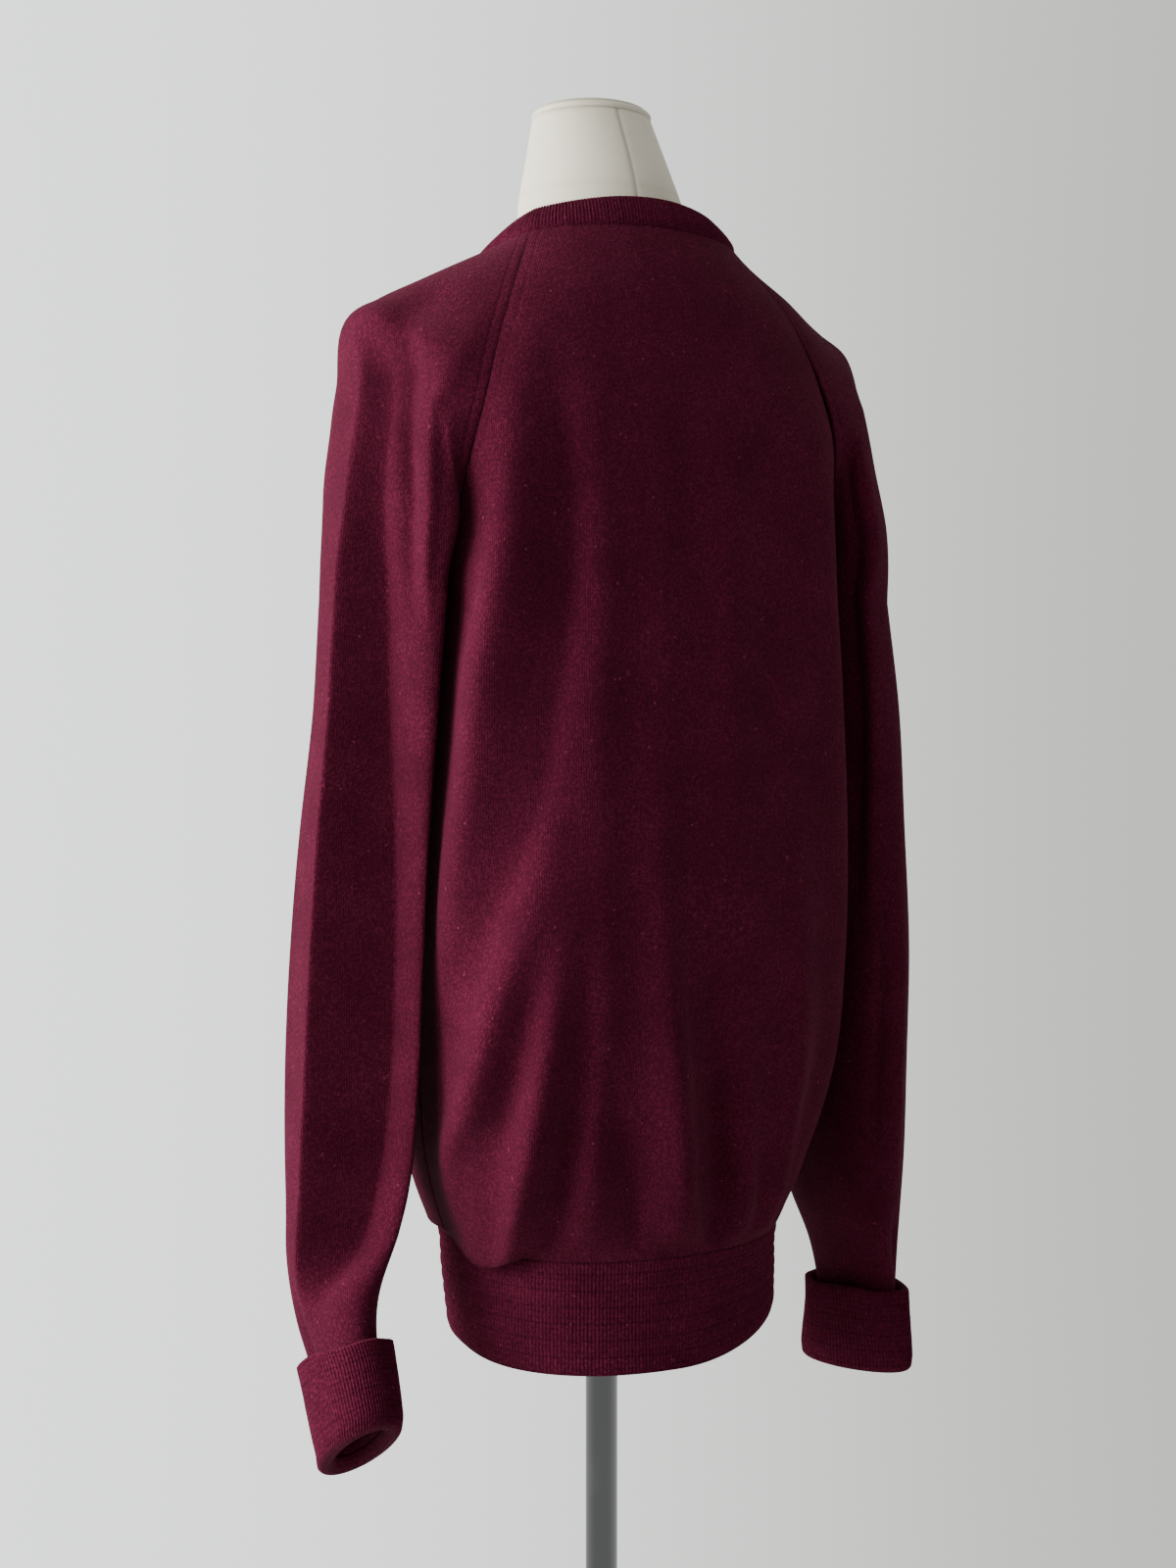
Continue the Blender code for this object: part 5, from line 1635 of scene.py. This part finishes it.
def new_group(
    name: str, inputs: dict[str, tuple[str, Any]], outputs: tuple[str, ...]
) -> tuple[bpy.types.NodeTree, Any, Any]:
    """An empty shader node group with named inputs and value outputs.

    Args:
        name: the group's name.
        inputs: socket type and default value by name. A default of None is left as it is.
        outputs: names of the value outputs.

    Returns:
        The tree, its input node and its output node.
    """
    tree = bpy.data.node_groups.new(name, "ShaderNodeTree")
    for key, (kind, default) in inputs.items():
        socket = tree.interface.new_socket(key, in_out="INPUT", socket_type=kind)
        if default is not None:
            socket.default_value = default
    for key in outputs:
        tree.interface.new_socket(key, in_out="OUTPUT", socket_type="NodeSocketFloat")
    return tree, tree.nodes.new("NodeGroupInput"), tree.nodes.new("NodeGroupOutput")


class Effects:
    """The shader groups that more than one finish uses."""

    SLANT = 1.3  # courses that a loop rises over a wale's width
    GAP = (0.34, 0.5)  # where the gap between wales lies, in wales from the middle of one
    CLOUDS, MOTTLES, HAIRS, PILLS, PATCHES = 28, 640, 1900, 240, 190  # cells to the metre
    MOTTLE_RANGE = (0.33, 0.67)
    PATCH_RANGE = (0.59, 0.71)  # pills grow only where the noise is this high
    PILL_RANGE = (0.30, 0.06)  # from a pill's edge to its top

    def __init__(self) -> None:
        """Builds each group once."""
        self.stitches = self.make_stitches()
        self.fuzz = self.make_fuzz()

    def make_stitches(self) -> bpy.types.NodeTree:
        """Knit stitches: upright wales of V-shaped loops, in metres across and along.

        With away as the distance from a wale's middle, Height is sqrt(1.02 - 4 away^2) times the
        loops' slanted waves. Gap is 1 between two wales.
        """
        inputs = {
            "Stitches": ("NodeSocketVector", None),
            "Wale": ("NodeSocketFloat", 0.0014),
            "Course": ("NodeSocketFloat", 0.0010),
        }
        tree, given, made = new_group("knit_stitches", inputs, ("Height", "Gap"))
        place = add(tree, "ShaderNodeSeparateXYZ", {0: given.outputs["Stitches"]})
        wale = maths(tree, "FRACT", maths(tree, "DIVIDE", place.outputs[0], given.outputs["Wale"]))
        away = maths(tree, "ABSOLUTE", maths(tree, "SUBTRACT", wale, 0.5))
        course = maths(tree, "DIVIDE", place.outputs[1], given.outputs["Course"])
        rise = maths(tree, "MULTIPLY", away, self.SLANT)
        slant = maths(tree, "FRACT", maths(tree, "ADD", course, rise))
        loop = maths(tree, "ABSOLUTE", maths(tree, "SUBTRACT", slant, 0.5))
        square = maths(tree, "MULTIPLY", maths(tree, "MULTIPLY", away, away), 4.0)
        rounded = maths(tree, "SQRT", maths(tree, "SUBTRACT", 1.02, square))
        height = maths(tree, "MULTIPLY", rounded, maths(tree, "SUBTRACT", 1.0, loop))
        tree.links.new(height, made.inputs["Height"])
        tree.links.new(ramp(tree, away, *self.GAP), made.inputs["Gap"])
        return tree

    def make_fuzz(self) -> bpy.types.NodeTree:
        """Brushed wool: slow and quick unevenness, small pills and their height.

        Height is 0.5 Mottle + Pill + 0.35 of the finest noise.
        """
        inputs = {"Position": ("NodeSocketVector", None), "Pills": ("NodeSocketFloat", 0.5)}
        outputs = ("Cloud", "Mottle", "Pill", "Height")
        tree, given, made = new_group("wool_fuzz", inputs, outputs)
        place = given.outputs["Position"]
        cloud = noise(tree, place, self.CLOUDS, 3)
        mottle = ramp(tree, noise(tree, place, self.MOTTLES, 3), *self.MOTTLE_RANGE)
        hairs = noise(tree, place, self.HAIRS, 2)
        cell = add(tree, "ShaderNodeTexVoronoi", {"Vector": place, "Scale": self.PILLS})
        near = ramp(tree, cell.outputs["Distance"], *self.PILL_RANGE)
        chosen = ramp(tree, noise(tree, place, self.PATCHES, 1), *self.PATCH_RANGE)
        pill = maths(tree, "MULTIPLY", maths(tree, "MULTIPLY", near, chosen), given.outputs["Pills"])
        height = maths(tree, "ADD", maths(tree, "MULTIPLY", mottle, 0.5), pill)
        height = maths(tree, "ADD", height, maths(tree, "MULTIPLY", hairs, 0.35))
        for key, value in zip(outputs, (cloud, mottle, pill, height)):
            tree.links.new(value, made.inputs[key])
        return tree


def new_material(name: str) -> tuple[bpy.types.Material, bpy.types.NodeTree, Any]:
    """A material with its tree and its Principled shader."""
    material = bpy.data.materials.new(name)
    material.use_nodes = True
    return material, material.node_tree, material.node_tree.nodes["Principled BSDF"]


def set_values(shader: Any, values: dict[str, Any]) -> None:
    """Sets constants on a shader's own sockets."""
    for key, value in values.items():
        shader.inputs[key].default_value = value


def dress(
    tree: bpy.types.NodeTree, shader: Any, colour: Socket, height: Socket, strength: float
) -> None:
    """Links a colour and the relief of a height in metres to a shader."""
    relief = add(tree, "ShaderNodeBump", {"Height": height, "Strength": strength, "Distance": 1.0})
    tree.links.new(colour, shader.inputs["Base Color"])
    tree.links.new(relief.outputs[0], shader.inputs["Normal"])


@dataclass(frozen=True)
class WoolFinish:
    """Brushed burgundy knit: stitches, mottled wool, pills with painted glints, painted shading in
    the seams and between wales, and a soft sheen.
    """

    name: str
    wale: float
    course: float
    relief: float
    rows: float = 0.0  # how dark the painted shading in the lines between a rib's rows is
    row_lines: Knots = ((0.0033, 0.34), (0.0099, 0.42))  # pitches, and where in a row a line starts
    level: float = 0.21  # the tone that the mottle and the clouds vary, from 0 dark tone to 1 body
    mottle: float = 0.46
    clouds: float = 0.5
    # painted shading in the gaps between wales
    gap_shade: float = 0.3
    # painted shading in the seams' grooves, along the neckband's sewn edge and at the hem rib's top
    seam_shade: float = 0.25
    pills: float = 0.8
    # how strongly the pills take a painted glint, where their fuzz catches the light
    pill_glint: float = 0.8
    stitch_depth: float = 0.0003
    fuzz_depth: float = 0.0005
    bump_strength: float = 0.85
    roughness: float = 0.92
    specular: float = 0.03
    sheen_weight: float = 0.05
    sheen_roughness: float = 0.45
    # the darker random tone, which also takes the painted shading of the gaps between wales and of
    # the rib's row lines
    dark_tone_and_shading: Colour = (0.030, 0.0022, 0.0085)
    body: Colour = (0.088, 0.0076, 0.0250)
    # the paler random tone, which also takes the painted glints on the pills
    pale_tone_and_glint: Colour = (0.200, 0.0300, 0.0680)
    # the painted shading of the seams' grooves and the ribs' sewn edges
    seam: Colour = (0.016, 0.0011, 0.0042)
    sheen: Colour = (0.95, 0.30, 0.44)

    def lines(self, tree: bpy.types.NodeTree, stitches: Socket) -> Socket:
        """Painted shading in level lines between a rib's rows: many fine ones, and each third one
        deeper.

        Args:
            tree: the material's tree.
            stitches: metres across and along the wales.

        Returns:
            How dark the painted shading of the lines is.
        """
        along = add(tree, "ShaderNodeSeparateXYZ", {0: stitches}).outputs[1]
        lines = []
        for pitch, start in self.row_lines:
            row = maths(tree, "FRACT", maths(tree, "DIVIDE", along, pitch))
            away = maths(tree, "ABSOLUTE", maths(tree, "SUBTRACT", row, 0.5))
            lines.append(ramp(tree, away, start, 0.5))
        return maths(tree, "MULTIPLY", maths(tree, "ADD", *lines), self.rows)

    def build(self, effects: Effects) -> bpy.types.Material:
        """Mixes the dark tone and painted shading, the body, the pale tone and painted glints, and
        the painted seam shading colours by the tone, the pills and the seams.

        Args:
            effects: the shared shader groups.

        Returns:
            The material.
        """
        material, tree, shader = new_material(self.name)
        place = add(tree, "ShaderNodeTexCoord").outputs["Object"]
        stitches = add(tree, "ShaderNodeUVMap", uv_map="stitches").outputs[0]
        inputs = {"Stitches": stitches, "Wale": self.wale, "Course": self.course}
        knit = add(tree, "ShaderNodeGroup", inputs, node_tree=effects.stitches)
        inputs = {"Position": place, "Pills": self.pills}
        fuzz = add(tree, "ShaderNodeGroup", inputs, node_tree=effects.fuzz)
        seam = add(tree, "ShaderNodeAttribute", attribute_name="seam").outputs["Fac"]
        tone = maths(
            tree, "MULTIPLY_ADD", fuzz.outputs["Cloud"], self.clouds, -0.5 * self.clouds
        )
        mottle = maths(tree, "MULTIPLY_ADD", fuzz.outputs["Mottle"], self.mottle, self.level)
        tone = maths(tree, "ADD", tone, mottle)
        # painted shading: the tone darkens in the gaps between wales
        gap = maths(tree, "MULTIPLY", knit.outputs["Gap"], self.relief * self.gap_shade)
        tone = maths(tree, "SUBTRACT", tone, gap)
        # painted shading in the lines between a rib's rows
        if self.rows:
            tone = maths(tree, "SUBTRACT", tone, self.lines(tree, stitches))
        held = maths(tree, "MAXIMUM", maths(tree, "MINIMUM", tone, 1.0), 0.0)
        colour = mixed(tree, held, self.dark_tone_and_shading, self.body)
        # the paler random tone, and painted glints where the pills' fuzz catches the light
        bright = maths(tree, "MULTIPLY", maths(tree, "SUBTRACT", tone, 0.5), 0.5)
        bright = maths(tree, "MAXIMUM", bright, 0.0)
        pill = maths(tree, "MULTIPLY", fuzz.outputs["Pill"], self.pill_glint)
        bright = maths(tree, "ADD", bright, pill)
        colour = mixed(tree, maths(tree, "MINIMUM", bright, 1.0), colour, self.pale_tone_and_glint)
        # painted shading in the seams' grooves and along the ribs' sewn edges
        colour = mixed(tree, maths(tree, "MULTIPLY", seam, self.seam_shade), colour, self.seam)
        height = maths(tree, "MULTIPLY", knit.outputs["Height"], self.relief * self.stitch_depth)
        height = maths(tree, "MULTIPLY_ADD", fuzz.outputs["Height"], self.fuzz_depth, height)
        dress(tree, shader, colour, height, self.bump_strength)
        settings = {
            "Roughness": self.roughness,
            "Specular IOR Level": self.specular,
            "Sheen Weight": self.sheen_weight,
            "Sheen Roughness": self.sheen_roughness,
            "Sheen Tint": (*self.sheen, 1.0),
        }
        set_values(shader, settings)
        return material


@dataclass(frozen=True)
class CanvasFinish:
    """Cream canvas: a plain weave, faint soiling and painted shading in its sunken seams."""

    thread: float = 0.00055
    thread_depth: float = 0.00005
    slub_depth: float = 0.0001
    bump_strength: float = 0.6
    soil: float = 0.55
    soil_scale: float = 22.0  # cells to the metre
    soil_range: tuple[float, float] = (0.38, 0.72)
    slub: float = 0.25
    slub_scale: float = 900.0
    seam_shade: float = 0.6
    roughness: float = 0.82
    specular: float = 0.3
    pale: Colour = (0.68, 0.63, 0.51)
    # the painted shading of the sunken seams
    soiled: Colour = (0.56, 0.51, 0.40)
    seam: Colour = (0.26, 0.23, 0.18)

    def build(self) -> bpy.types.Material:
        """The material: its weave is sin(pi across / thread) * sin(pi along / thread)."""
        material, tree, shader = new_material("form_canvas")
        place = add(tree, "ShaderNodeTexCoord").outputs["Object"]
        stitches = add(tree, "ShaderNodeUVMap", uv_map="stitches").outputs[0]
        threads = add(tree, "ShaderNodeSeparateXYZ", {0: stitches})
        turns = [
            maths(tree, "SINE", maths(tree, "MULTIPLY", threads.outputs[i], math.pi / self.thread))
            for i in (0, 1)
        ]
        weave = maths(tree, "MULTIPLY", *turns)
        soil = ramp(tree, noise(tree, place, self.soil_scale, 4), *self.soil_range)
        slub = noise(tree, place, self.slub_scale, 2)
        threads_tone = maths(tree, "MULTIPLY", slub, self.slub)
        tone = maths(tree, "MULTIPLY_ADD", soil, self.soil, threads_tone)
        colour = mixed(tree, tone, self.pale, self.soiled)
        # painted shading in the sunken seams
        deep = add(tree, "ShaderNodeAttribute", attribute_name="seam").outputs["Fac"]
        colour = mixed(tree, maths(tree, "MULTIPLY", deep, self.seam_shade), colour, self.seam)
        slubs = maths(tree, "MULTIPLY", slub, self.slub_depth)
        height = maths(tree, "MULTIPLY_ADD", weave, self.thread_depth, slubs)
        dress(tree, shader, colour, height, self.bump_strength)
        settings = {"Roughness": self.roughness, "Specular IOR Level": self.specular}
        set_values(shader, settings)
        return material


@dataclass(frozen=True)
class ChromeFinish:
    """Polished chrome with fine upright scratches and faint smears."""

    colour: Colour = (0.19, 0.195, 0.19)
    polish: float = 0.07  # the roughness between scratches and smears
    smears: float = 0.10
    smear_scale: float = 26.0  # cells to the metre
    smear_range: tuple[float, float] = (0.4, 0.7)
    scratches: float = 0.10
    scratch_scale: float = 2600.0
    scratch_depth: float = 0.0002
    stretch: float = 0.03  # of the scratches' noise, along the pole

    def build(self) -> bpy.types.Material:
        """The material: its roughness is polish + smears + scratches."""
        material, tree, shader = new_material("stand_chrome")
        place = add(tree, "ShaderNodeTexCoord").outputs["Object"]
        along = {"Vector": place, "Scale": (1.0, 1.0, self.stretch)}
        stretched = add(tree, "ShaderNodeMapping", along).outputs[0]
        scratch = noise(tree, stretched, self.scratch_scale, 2)
        smear = ramp(tree, noise(tree, place, self.smear_scale, 4), *self.smear_range)
        scratched = maths(tree, "MULTIPLY", scratch, self.scratches)
        rough = maths(tree, "MULTIPLY_ADD", smear, self.smears, scratched)
        set_values(shader, {"Base Color": (*self.colour, 1.0), "Metallic": 1.0})
        tree.links.new(maths(tree, "ADD", rough, self.polish), shader.inputs["Roughness"])
        inputs = {"Height": scratch, "Strength": 0.05, "Distance": self.scratch_depth}
        tree.links.new(add(tree, "ShaderNodeBump", inputs).outputs[0], shader.inputs["Normal"])
        return material


# ---------------------------------------------------------------- light, floor and camera
@dataclass(frozen=True)
class Lamp:
    """A soft rectangular light: how far to the left, towards the camera and up it is."""

    name: str
    place: tuple[float, float, float]
    size: tuple[float, float]
    power: float
    colour: Colour = (1.0, 0.995, 0.98)


@dataclass(frozen=True)
class Studio:
    """A pale floor, soft light from the camera's left, and the photo's camera."""

    focal_pixels: float = 2145.0
    picture: tuple[int, int] = (1200, 1600)
    film: float = 36.0
    clip: tuple[float, float] = (0.05, 60.0)
    horizon_row: float = 700.0
    distance: float = 1.30
    turn: float = 26.0  # degrees from straight behind, towards the left side
    side_step: float = 0.0085
    eye_height: float = 1.134
    lamps: tuple[Lamp, ...] = (
        Lamp("window", (2.15, 0.30, 1.45), (2.0, 1.7), 158.0),
        Lamp("glass", (1.75, 1.45, 1.75), (1.4, 1.6), 42.0),
    )
    lit_height: float = 1.05  # the height on the pole's axis that the lamps look at
    # painted light on the wall that the camera sees: brighter at the left, where the window's light
    # falls, and darker at the right
    wall_left: Colour = (1.76, 1.86, 1.80)
    wall_right: Colour = (0.74, 0.76, 0.70)
    wall_edges: tuple[float, float] = (-0.34, 0.30)
    room_behind_camera: Colour = (0.50, 0.505, 0.51)
    room_behind_part: Colour = (0.90, 0.91, 0.90)
    room_edges: tuple[float, float] = (0.75, -0.75)
    floor_colour: Colour = (0.62, 0.63, 0.61)
    floor_radii: tuple[float, ...] = (0.0, 0.3, 0.6, 0.9, 1.2)
    floor_columns: int = 64
    floor_fade: tuple[float, float] = (1.15, 0.35)

    def directions(self) -> tuple[Array, Array]:
        """Level directions from the part to the camera, and to the picture's left."""
        turn = math.radians(self.turn)
        towards = np.array([math.sin(turn), math.cos(turn), 0.0])
        return towards, np.array([math.cos(turn), -math.sin(turn), 0.0])

    def camera(self) -> None:
        """The camera, pitched so that the horizon lies on its row of the picture."""
        towards, left = self.directions()
        data = bpy.data.cameras.new("camera")
        data.sensor_fit = "AUTO"
        data.sensor_width = self.film
        data.lens = self.film * self.focal_pixels / self.picture[1]
        data.clip_start, data.clip_end = self.clip
        camera = bpy.data.objects.new("camera", data)
        camera.location = towards * self.distance + left * self.side_step
        camera.location.z = self.eye_height
        pitch = math.atan((self.picture[1] / 2 - self.horizon_row) / self.focal_pixels)
        camera.rotation_euler = (math.pi / 2 - pitch, 0.0, math.pi - math.radians(self.turn))
        bpy.context.scene.collection.objects.link(camera)
        bpy.context.scene.camera = camera

    def lights(self) -> None:
        """A window's soft light from the left and a little above, looking at the part."""
        towards, left = self.directions()
        middle = np.array([0.0, 0.0, self.lit_height])
        for lamp in self.lamps:
            data = bpy.data.lights.new(lamp.name, "AREA")
            data.shape = "RECTANGLE"
            data.size, data.size_y = lamp.size
            data.energy = lamp.power
            data.color = lamp.colour
            light = bpy.data.objects.new(lamp.name, data)
            place = left * lamp.place[0] + towards * lamp.place[1]
            place[2] = lamp.place[2]
            light.location = place
            look = (middle - place) / np.linalg.norm(middle - place)
            turn = math.atan2(look[1], look[0]) - math.pi / 2
            light.rotation_euler = (math.acos(-look[2]), 0.0, turn)
            bpy.context.scene.collection.objects.link(light)

    def along(self, tree: bpy.types.NodeTree, way: Socket, direction: Array) -> Socket:
        """How far the world's directions point along one of them, from -1 to 1."""
        inputs = {0: way, 1: tuple(direction)}
        return add(tree, "ShaderNodeVectorMath", inputs, operation="DOT_PRODUCT").outputs["Value"]

    def world(self) -> None:
        """The wall that the camera sees, with painted light that makes it paler at the left, and the
        light that the room gives.

        The room is bright at the wall behind the part and dim behind the camera.
        """
        towards, left = self.directions()
        world = bpy.data.worlds.new("room")
        bpy.context.scene.world = world
        world.use_nodes = True
        tree = world.node_tree
        tree.nodes.clear()
        path = add(tree, "ShaderNodeLightPath")
        way = add(tree, "ShaderNodeTexCoord").outputs["Generated"]
        # painted light: the wall grows brighter towards the left
        across = ramp(tree, self.along(tree, way, left), *self.wall_edges)
        wall = mixed(tree, across, self.wall_right, self.wall_left)
        seen = add(tree, "ShaderNodeBackground", {"Color": wall, "Strength": 1.0})
        facing = ramp(tree, self.along(tree, way, towards), *self.room_edges)
        glow = mixed(tree, facing, self.room_behind_camera, self.room_behind_part)
        room = add(tree, "ShaderNodeBackground", {"Color": glow, "Strength": 1.0})
        inputs = {0: path.outputs["Is Camera Ray"], 1: room.outputs[0], 2: seen.outputs[0]}
        both = add(tree, "ShaderNodeMixShader", inputs)
        tree.links.new(both.outputs[0], add(tree, "ShaderNodeOutputWorld").inputs[0])

    def floor(self) -> None:
        """A pale round floor that fades into the backdrop."""
        turn = np.linspace(0, 2 * math.pi, self.floor_columns + 1)[None, :]
        radius = np.array(self.floor_radii)[:, None]
        points = np.stack([radius * np.cos(turn), radius * np.sin(turn), 0 * radius * turn], -1)
        material, tree, shader = new_material("floor")
        place = add(tree, "ShaderNodeTexCoord").outputs["Object"]
        away = add(tree, "ShaderNodeVectorMath", {0: place}, operation="LENGTH").outputs["Value"]
        set_values(shader, {"Base Color": (*self.floor_colour, 1.0), "Roughness": 0.7})
        tree.links.new(ramp(tree, away, *self.floor_fade), shader.inputs["Alpha"])
        piece = Surface.from_grid(points).object("floor", material)
        if sum(face.normal.z for face in piece.data.polygons) < 0:
            piece.data.flip_normals()

    def build(self) -> None:
        """Everything round the part."""
        self.camera()
        self.world()
        self.lights()
        self.floor()


# ---------------------------------------------------------------- the whole object
def main() -> None:
    """Builds the studio, the finishes, the form and the jumper, in that order."""
    logging.basicConfig(level=logging.INFO, format="%(name)s: %(message)s")
    Studio().build()
    effects = Effects()
    knit = WoolFinish("burgundy_knit_wool", wale=0.0014, course=0.0010, relief=1.0).build(effects)
    rib = WoolFinish(
        "burgundy_rib_wool", wale=0.0011, course=0.0009, relief=0.5, rows=0.18,
        body=(0.105, 0.0092, 0.0300),
    ).build(effects)
    DressForm(CanvasFinish().build()).build()
    Stand(ChromeFinish().build()).build()
    BackPanel(knit).build()
    FrontPanel(knit).build()
    Sleeve(Side.LEFT, LEFT_ARM, LEFT_SHOULDER, LEFT_ARM_FOLDS, LEFT_PLEAT, knit).build()
    Sleeve(Side.RIGHT, RIGHT_ARM, RIGHT_SHOULDER, RIGHT_ARM_FOLDS, None, knit).build()
    HemRib(rib).build()
    Cuff(rib, side=Side.LEFT, arm=LEFT_ARM).build()
    Cuff(rib, side=Side.RIGHT, arm=RIGHT_ARM).build()
    Neckband(rib).build()


if __name__ == "__main__":
    main()
